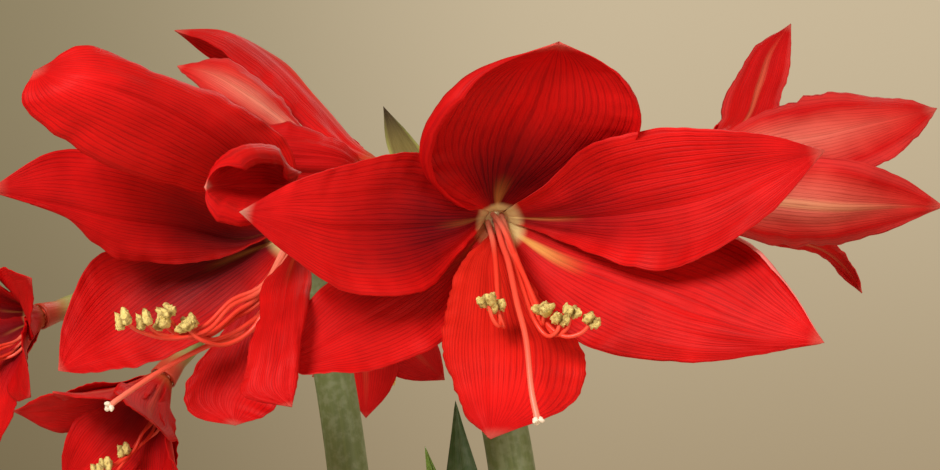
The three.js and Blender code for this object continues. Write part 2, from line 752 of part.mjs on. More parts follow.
const backLeftFlower = {
  throat: [-50, 0, 627],
  facing: [-0.74, 0.57, 0.36],
  foot: 155,
  petals: {
    top: {
      azimuth: 90,
      left: [[-13, 30, 15], [-32, 50, 32], [-54, 64, 43], [-77, 60, 53]],
      rib: [[-13, 16, 15], [-30, 30, 35], [-47, 40, 51], [-69, 46, 64]],
      right: [[-16, 2, 9], [-33, 8, 22], [-49, 14, 37], [-69, 22, 54]],
      tip: [-93, 45, 65],
    },
    near_upper: {
      azimuth: 30,
      left: [[-16, -6, 8], [-36, 2, 24], [-49, 6, 40], [-69, 4, 48]],
      rib: [[-17, -10, 5], [-38, -8, 20], [-56, -8, 33], [-72, -4, 42]],
      right: [[-19, -10, 2], [-41, -8, 14], [-62, -8, 28], [-78, -2, 38]],
      tip: [-85, 0, 45],
    },
    near_lower: {
      azimuth: 330,
      left: [[-13, -13, 11], [-29, -16, 18], [-47, -18, 18], [-67, -16, 16]],
      rib: [[-13, -19, 4], [-30, -25, 6], [-51, -27, 7], [-70, -22, 9]],
      right: [[-12, -14, -5], [-31, -18, -5], [-51, -22, -3], [-71, -18, 3]],
      tip: [-88, -12, 11],
    },
  },
  openings: {
    bottom: { azimuth: 290, span: 18, length: 94, halfWidth: 13, opening: 66 },
    far_lower: { azimuth: 245, span: 18, length: 96, halfWidth: 14, opening: 54 },
    far_upper: { azimuth: 204, span: 18, length: 92, halfWidth: 13, opening: 36 },
  },
};

// The flower at the right, seen from behind as it faces right

const rightFlower = {
  throat: [71, 20, 625],
  facing: [0.9, 0.35, -0.05],
  foot: 65,
  petals: {
    top: {
      azimuth: 90,
      left: [[24, -8, 12], [47, -8, 21], [55, -4, 36], [60, 6, 53]],
      rib: [[20, 0, 14], [40, 4, 25], [47, 8, 41], [53, 12, 56]],
      right: [[17, 15, 14], [31, 24, 25], [36, 25, 42], [47, 20, 59]],
      tip: [62, 16, 69],
    },
    near_upper: {
      azimuth: 150,
      left: [[17, -20, -3], [53, -38, 1], [83, -44, 2], [104, -38, 14]],
      rib: [[16, -14, 4], [42, -28, 12], [66, -36, 16], [92, -38, 22]],
      right: [[18, -12, 11], [47, -20, 29], [72, -22, 35], [97, -28, 33]],
      tip: [115, -34, 28],
    },
    near_lower: {
      azimuth: 210,
      left: [[18, -14, -16], [42, -26, -27], [66, -32, -31], [93, -36, -23]],
      rib: [[13, -22, -8], [36, -40, -10], [63, -50, -13], [89, -44, -13]],
      right: [[18, -28, 0], [47, -47, 6], [73, -52, 6], [97, -46, -1]],
      tip: [118, -34, -13],
    },
    bottom: {
      azimuth: 270,
      left: [[21, 10, -19], [46, 14, -28], [72, 18, -33], [85, 22, -43]],
      rib: [[20, 2, -15], [45, 7, -24], [72, 12, -30], [87, 18, -40]],
      right: [[21, -6, -12], [52, 0, -20], [78, 6, -29], [89, 13, -38]],
      tip: [94, 18, -51],
    },
  },
  openings: {
    far_lower: { azimuth: 330, length: 100, halfWidth: 16, opening: 74 },
    far_upper: { azimuth: 30, length: 104, halfWidth: 21, opening: 58 },
  },
};

// Only their tips show between the petals that hide them, so these two share the left flower's bundle of
// stamens, turned to where each flower faces.

function turnedTo(points, from, to, droop = 1) {
  const here = directionsOf(from);
  const there = directionsOf(to);
  return points.map((point) => {
    const way = vector(point);
    return new THREE.Vector3()
      .addScaledVector(there.facing, way.dot(here.facing))
      .addScaledVector(there.up, droop * way.dot(here.up))
      .addScaledVector(there.side, way.dot(here.side))
      .toArray();
  });
}
const hiddenDroop = 0.5; // these two bundles hang half as low as the left flower's
const hiddenStyleDroop = 0.6;
for (const flower of [backLeftFlower, rightFlower]) {
  flower.filaments = {};
  for (const [azimuth, points] of Object.entries(leftFlower.filaments)) {
    flower.filaments[azimuth] = turnedTo(points, leftFlower, flower, hiddenDroop);
  }
  flower.style = turnedTo(leftFlower.style, leftFlower, flower, hiddenStyleDroop);
}

// The three smaller flowers of the rear scape. Their six petals grow together at the base in one piece.

const smallFlower = { length: 64, halfWidth: 17, collarHeight: 4, petalSteps: 4, strandSteps: 5, droop: 0.8 };
const rearFlowers = {
  rear_left_flower: {
    throat: [-211, 78, 562], facing: [-0.62, -0.76, -0.2], foot: 140, openings: [78, 64],
  },
  rear_middle_flower: {
    throat: [-147, 38, 536], facing: [-0.42, -0.62, -0.66], foot: 225, openings: [60, 50],
  },
  rear_right_flower: {
    throat: [-68, 170, 570], facing: [0.25, 0.8, -0.55], foot: 52, openings: [60, 50],
  },
};

function perianthSolid(flower) {
  const { facing } = directionsOf(flower);
  const inside = mouthRadius - mouthWall / 2;
  const outside = mouthRadius + mouthWall / 2;
  const outline = [[inside, GAP], [outside, GAP], [outside, smallFlower.collarHeight],
    [inside, smallFlower.collarHeight], [inside, GAP]];
  const collar = turned(outline, stalkSides + 2);
  let perianth = solid(place(collar, vector([0, 0, 0]), facing).translate(...flower.throat));
  for (let k = 0; k < 6; k += 1) {
    const petal = openPetal(flower, {
      azimuth: 60 * k + 30,
      length: smallFlower.length,
      halfWidth: smallFlower.halfWidth,
      opening: flower.openings[k % 2],
    });
    perianth = perianth.add(solid(petalSkin(flower, petal, smallFlower.petalSteps)));
  }
  return skin(perianth);
}

// In the small flowers the stamens and the pistil are one piece on a plug in the tube.
function smallStamensSolid(flower) {
  const { facing } = directionsOf(flower);
  const shrink = smallFlower.length / 100;
  const low = ringTop - ringHeight;
  const narrow = Math.cos(Math.PI / stalkSides);
  const plug = turned([[0, low], [tubeInsideAt(-low) * narrow - GAP, low],
    [tubeInsideAt(-ringTop) * narrow - GAP, ringTop], [0, ringTop]], stalkSides);
  let stamens = solid(place(plug, vector([0, 0, 0]), facing));
  const bundle = [0, 120, 240].map((azimuth) => leftFlower.filaments[azimuth]);
  bundle.push(leftFlower.style);
  bundle.forEach((points, k) => {
    const foot = spokeAt(flower, 90 * k).multiplyScalar(2).addScaledVector(facing, ringTop - 1);
    const path = turnedTo(points, leftFlower, flower, smallFlower.droop);
    const line = smooth([foot, ...path.map((point) => vector(point).multiplyScalar(shrink))]);
    stamens = stamens.add(solid(stem(line, () => filamentRadius, smallFlower.strandSteps, strandSides)));
    stamens = stamens.add(solid(antherAt(line.getPoint(1), line.getTangent(1).normalize())));
  });
  return skin(stamens).translate(...flower.throat);
}

// Umbels: bracts and flowers on the top of each scape

function umbelOf(scape, top) {
  return { top, up: scape.line.getTangent(1).normalize() };
}
const front = umbelOf(frontScape, frontUmbel);
const rear = umbelOf(rearScape, rearUmbel);

const largeFlowers = {
  front_flower: frontFlower,
  left_flower: leftFlower,
  back_left_flower: backLeftFlower,
  right_flower: rightFlower,
};
for (const [name, flower] of Object.entries(largeFlowers)) {
  add(`${name}_stalk`, stalkSkin(flower, front), stemGreen);
  for (const [side, petal] of Object.entries(flower.petals)) {
    add(`${name}_${side}_petal`, petalSkin(flower, petal), petalRed);
  }
  for (const [side, opening] of Object.entries(flower.openings ?? {})) {
    add(`${name}_${side}_petal`, petalSkin(flower, openPetal(flower, opening)), petalRed);
  }
  add(`${name}_stamens`, stamensSolid(flower), filamentRed);
  add(`${name}_pistil`, pistilSolid(flower), stylePink);
}
for (const [name, flower] of Object.entries(rearFlowers)) {
  add(`${name}_stalk`, stalkSkin(flower, rear), stemGreen);
  add(`${name}_perianth`, perianthSolid(flower), petalRed);
  add(`${name}_stamens_and_pistil`, smallStamensSolid(flower), filamentRed);
}

// The bracts that wrapped the buds: each starts against its scape's side, just below the top. The points of
// their edges and ribs are [right, back, up] from the top of the scape.

const bracts = {
  front_scape_tall_bract: {
    top: frontUmbel,
    left: [[-10, 3, -4], [-21, 12, 22], [-31, 15, 42], [-39, 15, 58]],
    rib: [[-5.8, 8.6, -4], [-14, 14, 22], [-23, 16, 40], [-32, 15, 58]],
    right: [[0, 10.5, -4], [-7, 16, 22], [-15, 17, 40], [-25, 15, 58]],
    tip: [-41, 14, 76],
  },
  front_scape_short_bract: {
    top: frontUmbel,
    left: [[9.9, 4.6, -4], [22, 4, 12], [32, 2, 24], [40, -2, 34]],
    rib: [[10.8, -1.4, -4], [23, -4, 11], [34, -5, 23], [42, -6, 33]],
    right: [[9, -7.5, -4], [20, -11, 11], [31, -12, 22], [40, -10, 32]],
    tip: [50, -8, 42],
  },
  rear_scape_left_bract: {
    top: rearUmbel,
    left: [[-9, 5.4, -4], [-17, 13, 10], [-22, 19, 24], [-22, 25, 36]],
    rib: [[-4.1, 9.6, -4], [-9, 19, 10], [-13, 26, 24], [-16, 30, 36]],
    right: [[2.4, 10.2, -4], [0, 20, 10], [-4, 27, 24], [-9, 31, 36]],
    tip: [-18, 35, 47],
  },
  rear_scape_right_bract: {
    top: rearUmbel,
    left: [[6, 10, -4], [11, 15, 10], [17, 17, 22], [22, 16, 32]],
    rib: [[11, 4, -4], [18, 7, 10], [25, 9, 22], [29, 10, 32]],
    right: [[11, -3.5, -4], [19, -2, 10], [26, 0, 22], [30, 3, 32]],
    tip: [35, 10, 40],
  },
};
for (const [name, bract] of Object.entries(bracts)) {
  const lineOf = (points) => smooth([...points, bract.tip].map(vector));
  const lines = { left: lineOf(bract.left), rib: lineOf(bract.rib), right: lineOf(bract.right) };
  add(name, bladeSkin(lines, bract, petalSteps).translate(...bract.top), bractBrown);
}

export default plant;
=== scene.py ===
# %% [markdown]
# # A potted amaryllis in bloom
# The plant is built in layers, as it grows: pot, soil, bulb, leaves, flower stems, and then the flowers.
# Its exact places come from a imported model, where every solid has a name. This script makes the finished
# look of each one and puts it in the same place, in metres, with Z up and the pot standing on Z = 0.

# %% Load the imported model
import math
import random

import bmesh
import bpy
from mathutils import Matrix, Quaternion, Vector, noise


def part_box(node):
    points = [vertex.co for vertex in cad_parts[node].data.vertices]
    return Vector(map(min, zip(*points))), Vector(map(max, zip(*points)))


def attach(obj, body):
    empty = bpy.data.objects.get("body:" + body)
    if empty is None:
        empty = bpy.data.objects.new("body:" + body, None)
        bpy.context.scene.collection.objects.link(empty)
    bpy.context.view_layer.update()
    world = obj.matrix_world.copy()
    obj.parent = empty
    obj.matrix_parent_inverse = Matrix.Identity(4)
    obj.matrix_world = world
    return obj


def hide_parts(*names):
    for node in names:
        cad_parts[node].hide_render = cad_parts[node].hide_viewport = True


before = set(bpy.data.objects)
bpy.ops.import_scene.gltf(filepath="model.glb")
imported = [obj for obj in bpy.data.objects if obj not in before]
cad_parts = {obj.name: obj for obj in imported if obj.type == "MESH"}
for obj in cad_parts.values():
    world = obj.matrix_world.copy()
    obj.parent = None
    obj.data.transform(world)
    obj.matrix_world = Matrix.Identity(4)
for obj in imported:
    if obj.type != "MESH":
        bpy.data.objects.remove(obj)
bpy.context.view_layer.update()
MM = 0.001

# %% [markdown]
# ## Camera
# The picture was taken level with the flowers, from less than a metre away. A camera on the flowers' own
# height, turned to look along +Y, gives the same perspective, and its focal length sets how much it sees.

# %% Camera
camera = bpy.data.objects.new("camera", bpy.data.cameras.new("camera"))
camera.data.sensor_width = 36
camera.data.lens = 74.47
camera.location = (-0.010, -0.830, 0.600)
camera.rotation_euler = (math.radians(90), 0, 0)
bpy.context.collection.objects.link(camera)
bpy.context.scene.camera = camera
print("camera sees", round(math.degrees(camera.data.angle), 1), "degrees across")

# %% [markdown]
# ## Building materials from nodes
# A material is a small network: patterns and sums of patterns decide how much of each colour lies where. One
# helper holds the network, so each step is a short call. The other is a finish on the plant: it starts from a
# colour, more colours are painted over it by a share from 0 to 1, and a pattern gives it fine relief.

# %% Node helper
class Nodes:
    def __init__(self, tree):
        self.tree = tree

    def feed(self, socket, value):
        """Link a node's output to a socket, or set a plain value on it."""
        if isinstance(value, bpy.types.NodeSocket):
            self.tree.links.new(value, socket)
        else:
            socket.default_value = (*value, 1.0) if isinstance(value, tuple) else value

    def put(self, kind, settings=None, **values):
        """Add a shader node, with its settings and the values of its inputs."""
        node = self.tree.nodes.new("ShaderNode" + kind)
        for key, value in (settings or {}).items():
            setattr(node, key, value)
        for key, value in values.items():
            self.feed(node.inputs[key.replace("_", " ")], value)
        return node

    def reckon(self, operation, *values, clamp=False):
        node = self.put("Math", {"operation": operation, "use_clamp": clamp})
        for socket, value in zip(node.inputs, values):
            self.feed(socket, value)
        return node.outputs[0]

    def times(self, first, second, clamp=False):
        return self.reckon("MULTIPLY", first, second, clamp=clamp)

    def plus(self, first, second, clamp=False):
        return self.reckon("ADD", first, second, clamp=clamp)

    def step(self, value, low, high):
        """0 below low and 1 above high, or the other way round where low is the larger."""
        node = self.put("MapRange", {"interpolation_type": "SMOOTHSTEP"}, Value=value)
        ends = (low, high, 0.0, 1.0) if low < high else (high, low, 1.0, 0.0)
        for socket, end in zip(node.inputs[1:5], ends):
            socket.default_value = end
        return node.outputs[0]

    def mix(self, share, first, second, blend="MIX"):
        node = self.put("Mix", {"data_type": "RGBA", "blend_type": blend})
        for socket, value in zip((node.inputs[0], *node.inputs[6:8]), (share, first, second)):
            self.feed(socket, value)
        return node.outputs[2]

    def split(self, vector):
        return self.put("SeparateXYZ", Vector=vector).outputs[:3]


# %% Finish helper
class Finish(Nodes):
    def __init__(self, name, roughness, gloss=0.5):
        self.material = bpy.data.materials.new(name)
        self.material.use_nodes = True
        super().__init__(self.material.node_tree)
        self.shader = self.tree.nodes["Principled BSDF"]
        self.shader.inputs["Roughness"].default_value = roughness
        self.shader.inputs["Specular IOR Level"].default_value = gloss
        self.here = self.put("TexCoord").outputs["Object"]
        self.tone = None

    def cloudy(self, place, scale, detail, roughness):
        node = self.put("TexNoise", Vector=place, Scale=scale, Detail=detail, Roughness=roughness)
        return node.outputs[0]

    def grain(self, scale, detail, roughness=0.5):
        """A cloudy pattern through space, from 0 to 1."""
        return self.cloudy(self.here, scale, detail, roughness)

    def streaks(self, detail, roughness=0.5, **stretch):
        """The same pattern, on a place that is stretched along each of its directions."""
        parts = {axis: self.times(value, times) for axis, (value, times) in stretch.items()}
        return self.cloudy(self.put("CombineXYZ", **parts).outputs[0], 1.0, detail, roughness)

    def map_parts(self, name):
        return self.split(self.put("UVMap", {"uv_map": name}).outputs[0])[:2]

    def growth(self):
        """The share of the length, the share across, and the distance from the rib, all from 0 to 1."""
        along, across = self.map_parts("growth")
        return along, across, self.reckon("ABSOLUTE", self.reckon("MULTIPLY_ADD", across, 2.0, -1.0))

    def start(self, share, first, second):
        self.tone = self.mix(share, first, second)

    def paint(self, share, colour):
        self.tone = self.mix(share, self.tone, colour)

    def done(self, relief, depth, strength, see_through=0):
        """Join the colour, the relief that tilts the light, and the light that comes through a thin blade."""
        self.feed(self.shader.inputs["Base Color"], self.tone)
        bump = self.put("Bump", Height=relief, Distance=depth, Strength=strength)
        self.feed(self.shader.inputs["Normal"], bump.outputs[0])
        if see_through:
            through = self.put("BsdfTranslucent", Color=self.tone)
            both = self.put("MixShader", Fac=see_through)
            self.feed(both.inputs[1], self.shader.outputs[0])
            self.feed(both.inputs[2], through.outputs[0])
            self.feed(self.tree.nodes["Material Output"].inputs[0], both.outputs[0])
        print("finish:", self.material.name)
        return self.material


# %% [markdown]
# ## Floor, backdrop and light
# Petals look best in broad light: one large soft lamp above the camera's left shoulder shapes them, a weaker
# one on the right opens the shadows, and one from behind shines through thin petals. The world behind is a
# plain warm beige that darkens gently to the left and downwards, as a wall does away from the lamp.

# %% World
world = bpy.data.worlds.new("warm backdrop")
world.use_nodes = True
bpy.context.scene.world = world
sky = Nodes(world.node_tree)
to_x, _, to_z = sky.split(sky.put("TexCoord").outputs["Generated"])
side_tone = sky.mix(sky.step(to_x, -0.28, 0.09), (0.30, 0.245, 0.14), (0.66, 0.54, 0.36))
wall_tone = sky.mix(sky.step(to_z, -0.22, 0.16), (0.62, 0.58, 0.52), (1.0, 1.0, 1.0))
background = sky.tree.nodes["Background"]
sky.feed(background.inputs[0], sky.mix(1.0, side_tone, wall_tone, "MULTIPLY"))
background.inputs[1].default_value = 0.9
print("backdrop nodes:", len(sky.tree.nodes))

# %% Lamps
FLOWERS_MIDDLE = Vector((0.0, -0.05, 0.60))
lamps = {  # place, power in watts, width in metres, tint
    "key": ((-0.75, -1.45, 1.45), 36, 0.55, (1.0, 0.96, 0.90)),
    "fill": ((1.3, -1.2, 0.7), 7, 0.9, (1.0, 0.95, 0.88)),
    "back": ((0.3, 1.3, 1.5), 7, 0.8, (1.0, 0.95, 0.88)),
}
for name, (place, power, width, tint) in lamps.items():
    data = bpy.data.lights.new(name, "AREA")
    data.energy, data.size, data.color = power, width, tint
    lamp = bpy.data.objects.new(name, data)
    lamp.location = place
    lamp.rotation_euler = (FLOWERS_MIDDLE - Vector(place)).to_track_quat("-Z", "Y").to_euler()
    bpy.context.collection.objects.link(lamp)
bpy.context.scene.view_settings.view_transform = "Standard"
print("lamps:", ", ".join(lamps))

# %% Floor
FLOOR_RADIUS = 1.6
bm = bmesh.new()
bmesh.ops.create_circle(bm, cap_ends=True, radius=FLOOR_RADIUS, segments=96)
floor_mesh = bpy.data.meshes.new("floor")
bm.to_mesh(floor_mesh)
bm.free()
floor = bpy.data.objects.new("floor", floor_mesh)
bpy.context.collection.objects.link(floor)
pale = Finish("pale floor", 0.7)
pale.start(pale.grain(3.0, 3.0), (0.60, 0.52, 0.40), (0.68, 0.60, 0.48))
pale.feed(pale.shader.inputs["Base Color"], pale.tone)
floor_mesh.materials.append(pale.material)
print("floor is", 2 * FLOOR_RADIUS, "m wide")

# %% [markdown]
# ## Lines and sheets
# Almost everything on a plant is a stem or a blade. Both start here as a flat grid, which one operator makes,
# and a rule then moves each of its points: along a curved line for a stem, and over three lines for a blade.
# The grid's own UV map goes from 0 to 1 along the piece and across it, so veins can follow the growth.

# %% Curves through points
def mm(point):
    return Vector(point) * MM


def smooth_line(points, by_distance=False):
    """A curve through the points, with the same time between each two, or more where they lie far apart."""
    run = [2 * points[0] - points[1], *points, 2 * points[-1] - points[-2]]

    def at(along):
        place = along * (len(points) - 1)
        k = min(int(place), len(points) - 2)
        t = place - k
        a, b, c, d = run[k : k + 4]
        start, end = (c - a) / 2, (d - b) / 2
        if by_distance:
            ta, tb, tc = (max((q - p).length, 1e-6) ** 0.5 for p, q in ((a, b), (b, c), (c, d)))
            start = ((b - a) / ta - (c - a) / (ta + tb) + (c - b) / tb) * tb
            end = ((c - b) / tb - (d - b) / (tb + tc) + (d - c) / tc) * tb
        cubic = (2 * (b - c) + start + end) * t**3 + (3 * (c - b) - 2 * start - end) * t**2
        return cubic + start * t + b

    return at


def heading(line, along):
    low, high = max(along - 1e-4, 0), min(along + 1e-4, 1)
    return (line(high) - line(low)).normalized()


def between(value, pairs):
    """Read a value between (place, value) pairs that are given in order."""
    for (p, a), (q, b) in zip(pairs, pairs[1:]):
        if value <= q:
            return a + (b - a) * (value - p) / (q - p)
    return pairs[-1][1]


def round_z(angle, radius, height=0.0):
    return Vector((radius * math.cos(angle), radius * math.sin(angle), height))


# %% Grids that become blades and tubes
def new_shape(*maps):
    shape = bmesh.new()
    for name in ("growth", *maps):
        shape.loops.layers.uv.new(name)
    return shape


def blade(shape, steps, columns, place):
    """A grid laid out by place(along, across), with across from -1 at the left edge to 1 at the right."""
    made = bmesh.ops.create_grid(shape, x_segments=steps, y_segments=columns, size=1, calc_uvs=True)["verts"]
    for vert in made:
        vert.co = place((vert.co.x + 1) / 2, -vert.co.y)
    bmesh.ops.remove_doubles(shape, verts=made, dist=1e-7)
    return [vert for vert in made if vert.is_valid]


def tube(shape, stations, sides, waist=None):
    """A closed skin round stations of (centre, direction, radius), shaped as one grid that is rolled up."""
    spoke = stations[0][1].orthogonal().normalized()
    before, frames = stations[0][1], []
    for centre, direction, radius in stations:
        spoke = before.rotation_difference(direction) @ spoke
        before = direction
        frames.append((centre, spoke.copy(), direction.cross(spoke), radius))
    last = len(frames) - 1

    def place(along, across):
        centre, first, second, radius = frames[round(along * last)]
        angle = across * math.pi
        reach = radius * (waist(angle) if waist else 1)
        return centre + reach * (math.cos(angle) * first + math.sin(angle) * second)

    made = blade(shape, last, sides, place)
    bmesh.ops.recalc_face_normals(shape, faces=list({face for vert in made for face in vert.link_faces}))


def strand(shape, line, radius_at, steps, sides, origin=Vector(), waist=None):
    """A tube along a line, closed by a point at each end."""
    stations = [(origin + line(0), heading(line, 0), 0)]
    for along in (step / steps for step in range(steps + 1)):
        stations.append((origin + line(along), heading(line, along), radius_at(along) * MM))
    stations.append((origin + line(1), heading(line, 1), 0))
    tube(shape, stations, sides, waist)


# %% Turning a shape into a finished piece
def keep(shape, node, slot_name, finishes, **tones):
    """Make the piece for one named solid. Each tone becomes a UV map that is the same all over the piece."""
    for name, value in tones.items():
        layer = shape.loops.layers.uv.new(name)
        for face in shape.faces:
            for loop in face.loops:
                loop[layer].uv = value
    mesh = bpy.data.meshes.new(node + "_shape")
    shape.to_mesh(mesh)
    shape.free()
    mesh.shade_smooth()
    for finish in finishes:
        mesh.materials.append(finish)
    piece = bpy.data.objects.new(node + "_shape", mesh)
    bpy.context.collection.objects.link(piece)
    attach(piece, "root")
    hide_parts(node)
    return piece


def give_finish(shape, number, first=0, last=None):
    """Give the faces from first up to last another of the piece's finishes."""
    shape.faces.ensure_lookup_table()
    for face in shape.faces[first:last]:
        face.material_index = number


def weights_of(shape, made, rule):
    """How thick a sheet is at each point, by a rule of its place along it and its distance from the rib."""
    growth = shape.loops.layers.uv["growth"]
    spots = {vert: vert.link_loops[0][growth].uv for vert in made}
    return {vert: rule(spot.x, abs(2 * spot.y - 1)) for vert, spot in spots.items()}


def thicken(piece, thickness, weights=None, other_finish=0):
    """Give a sheet its thickness, half to each side. A vertex weight can thin its edges."""
    solid = piece.modifiers.new("thickness", "SOLIDIFY")
    solid.thickness, solid.offset = thickness, 0
    solid.material_offset, solid.material_offset_rim = other_finish, other_finish
    if weights:
        group = piece.vertex_groups.new(name="body")
        for index, weight in weights.items():
            group.add([index], weight, "REPLACE")
        solid.vertex_group, solid.thickness_vertex_group = "body", 0.3


def numbered(shape, weights):
    shape.verts.index_update()
    return {vert.index: weight for vert, weight in weights.items()}


# %% [markdown]
# ## Petal finish
# A petal is red all through, but not evenly: fine veins run from the throat to the tip, the throat has a
# yellow-green star, and the back is paler, with a greenish rib. Near the throat the red darkens to nearly
# black-red, which is partly the flower's own colour and partly painted shade, set stronger on petals that lie
# in shade. Veins can't be modelled one by one, so waves on the growth map, which noise sways, draw them in
# colour and relief. Some light also comes through the petal, which a Translucent shader adds behind the
# glossy one.

# %% Veins
def veins(skin, along, across, count):
    """Fine lines that run along a blade and wander a little, as 1 on a vein and 0 between two."""
    wander = skin.streaks(2.0, X=(along, 3.2), Y=(across, 9.0))
    lines = []
    for number, sway, low in ((count, 1.5, 0.45), (count * 2.3, 2.4, 0.30)):
        place = skin.plus(skin.times(across, number), skin.times(wander, sway))
        wave = skin.reckon("SINE", skin.times(place, 2 * math.pi))
        lines.append(skin.step(wave, low, 1.0))
    both = skin.plus(lines[0], skin.times(lines[1], 0.38), clamp=True)
    strength = skin.reckon("MULTIPLY_ADD", skin.step(skin.grain(95.0, 2.0), 0.30, 0.65), 0.5, 0.5)
    return skin.times(both, strength)


# %% Petal, the inner face
skin = Finish("petal inner face", 0.55, 0.16)
along, across, from_rib = skin.growth()
star, dark = skin.map_parts("throat")
pale_tip, warm = skin.map_parts("tip")
cloud = skin.grain(26.0, 3.0, 0.6)
vein = veins(skin, along, across, 29.0)
skin.start(skin.step(cloud, 0.15, 0.85), (0.52, 0.001, 0.002), (0.86, 0.005, 0.006))
skin.paint(skin.times(warm, skin.step(along, 1.0, 0.2)), (0.80, 0.040, 0.014))
skin.paint(skin.times(vein, 0.42), (0.24, 0.001, 0.004))
# painted shade: a dark fan near the throat, partly the flower's own dark red and partly shade, as strong as
# each petal's dark says
shade = skin.times(skin.step(along, 0.66, 0.20), dark)
shade = skin.times(shade, skin.reckon("MULTIPLY_ADD", vein, 0.25, 0.80), clamp=True)
fan = skin.step(skin.plus(from_rib, skin.times(cloud, 0.5)), 1.35, 0.35)
skin.paint(skin.times(shade, fan), (0.10, 0.0008, 0.006))
arm = skin.times(skin.step(from_rib, 0.15, 0.02), skin.step(along, 0.28, 0.08))
skin.paint(skin.times(arm, star), (0.86, 0.42, 0.10))
heart = skin.times(skin.step(along, 0.075, 0.030), skin.times(star, 3.0, clamp=True))
skin.paint(heart, (0.98, 0.80, 0.36))
skin.paint(skin.times(skin.step(along, 0.93, 1.0), pale_tip), (0.85, 0.42, 0.33))
swell = skin.reckon("SUBTRACT", skin.times(skin.grain(700.0, 2.0), 0.25), vein)
inner_red = skin.done(swell, 0.00035, 0.55, see_through=0.24)

# %% Petal, the outer face
skin = Finish("petal outer face", 0.58, 0.12)
along, across, from_rib = skin.growth()
pale, pale_rib = skin.map_parts("back")
pale_edge = skin.map_parts("rim")[0]
pale_tip = skin.map_parts("tip")[0]
cloud = skin.grain(20.0, 3.0, 0.6)
vein = veins(skin, along, across, 25.0)
skin.start(skin.step(cloud, 0.15, 0.85), (0.48, 0.002, 0.003), (0.80, 0.008, 0.008))
middle = skin.reckon("MULTIPLY_ADD", from_rib, -1.3, 0.45)
wash = skin.times(skin.reckon("MULTIPLY_ADD", cloud, 1.1, middle, clamp=True), skin.step(along, 1.02, 0.45))
skin.paint(skin.times(wash, pale, clamp=True), (0.88, 0.30, 0.22))
skin.paint(skin.times(skin.step(from_rib, 0.70, 0.88), pale_edge), (0.88, 0.26, 0.24))
rib = skin.times(skin.step(from_rib, 0.16, 0.02), skin.step(along, 1.0, 0.55))
skin.paint(skin.times(rib, pale_rib), (0.62, 0.36, 0.17))
skin.paint(skin.times(vein, 0.36), (0.26, 0.002, 0.006))
skin.paint(skin.times(skin.step(along, 0.14, 0.0), 0.3), (0.34, 0.28, 0.08))
skin.paint(skin.times(skin.step(along, 0.93, 1.0), pale_tip), (0.85, 0.42, 0.33))
swell = skin.plus(skin.times(skin.grain(700.0, 2.0), 0.3), vein)
outer_red = skin.done(swell, 0.00035, 0.5, see_through=0.22)

# %% [markdown]
# ## Green finishes
# The flower stems are smooth, with a waxy bloom that greys them. The leaves are darker and ribbed by parallel
# lines, because they grow from the base as grass does. Both use the growth map for lines, and noise for tone.

# %% Stem and leaf
def green_finish(name, dark_tone, light_tone, lines, roughness, bloom, blush=0.0):
    skin = Finish(name, roughness, 0.4)
    along, across, _ = skin.growth()
    skin.start(skin.grain(22.0, 4.0, 0.65), dark_tone, light_tone)
    streak = skin.streaks(2.0, X=(along, 5.0), Y=(across, lines))
    skin.paint(skin.times(skin.step(streak, 0.42, 0.62), 0.45), light_tone)
    speck = skin.grain(260.0, 3.0)
    skin.paint(skin.times(skin.step(speck, 0.38, 0.7), bloom), (0.42, 0.46, 0.34))
    skin.paint(skin.times(skin.step(along, 0.68, 0.84), blush), (0.46, 0.012, 0.008))
    return skin.done(skin.plus(streak, skin.times(speck, 0.3)), 0.0006, 0.5)


stem_green = green_finish("waxy stem", (0.085, 0.12, 0.038), (0.17, 0.21, 0.075), 22.0, 0.5, 0.22)
stalk_green = green_finish("flower stalk", (0.16, 0.20, 0.05), (0.33, 0.32, 0.11), 14.0, 0.45, 0.1, 0.9)
leaf_green = green_finish("leaf", (0.018, 0.042, 0.010), (0.05, 0.10, 0.022), 46.0, 0.38, 0.08)
young_green = green_finish("young leaf", (0.12, 0.24, 0.03), (0.25, 0.40, 0.07), 34.0, 0.4, 0.05)

# %% Dry bract
skin = Finish("dry bract", 0.62, 0.3)
along, across, from_rib = skin.growth()
streak = skin.streaks(3.0, X=(along, 4.0), Y=(across, 40.0))
skin.start(streak, (0.12, 0.085, 0.02), (0.30, 0.25, 0.08))
skin.paint(skin.step(from_rib, 0.72, 1.0), (0.36, 0.38, 0.10))
skin.paint(skin.step(along, 0.72, 1.0), (0.05, 0.03, 0.012))
dry_skin = skin.done(streak, 0.0008, 0.7, see_through=0.15)

# %% [markdown]
# ## Finishes inside the flower
# Filaments are orange-red and a little paler in the yellow throat. The pollen sacs have split, and show dry
# cream-yellow crumbs round dark slits. The style is paler than the filaments, and its tip is white.

# %% Filament and style
def strand_finish(name, foot_tone, middle_tone, end_tone):
    skin = Finish(name, 0.42, 0.45)
    along = skin.growth()[0]
    skin.start(skin.step(along, 0.02, 0.32), foot_tone, middle_tone)
    skin.paint(skin.step(along, 0.65, 1.0), end_tone)
    speck = skin.grain(320.0, 3.0)
    skin.paint(skin.times(speck, 0.35), (0.70, 0.05, 0.03))
    return skin.done(speck, 0.0003, 0.4)


filament_red = strand_finish("filament", (0.84, 0.30, 0.19), (0.80, 0.045, 0.020), (0.82, 0.090, 0.040))
style_pink = strand_finish("style", (0.84, 0.30, 0.20), (0.84, 0.080, 0.045), (0.88, 0.26, 0.18))

# %% Pollen sac, stigma and throat
skin = Finish("pollen sac", 0.9, 0.15)
crumb = skin.grain(900.0, 4.0, 0.7)
skin.start(crumb, (0.72, 0.50, 0.11), (0.95, 0.83, 0.36))
gap = skin.times(skin.step(skin.grain(420.0, 2.0), 0.48, 0.36), 0.6)
slit = skin.times(skin.map_parts("slit")[0], 0.7)
skin.paint(skin.reckon("MAXIMUM", gap, slit), (0.22, 0.10, 0.02))
pollen = skin.done(crumb, 0.0009, 1.0)

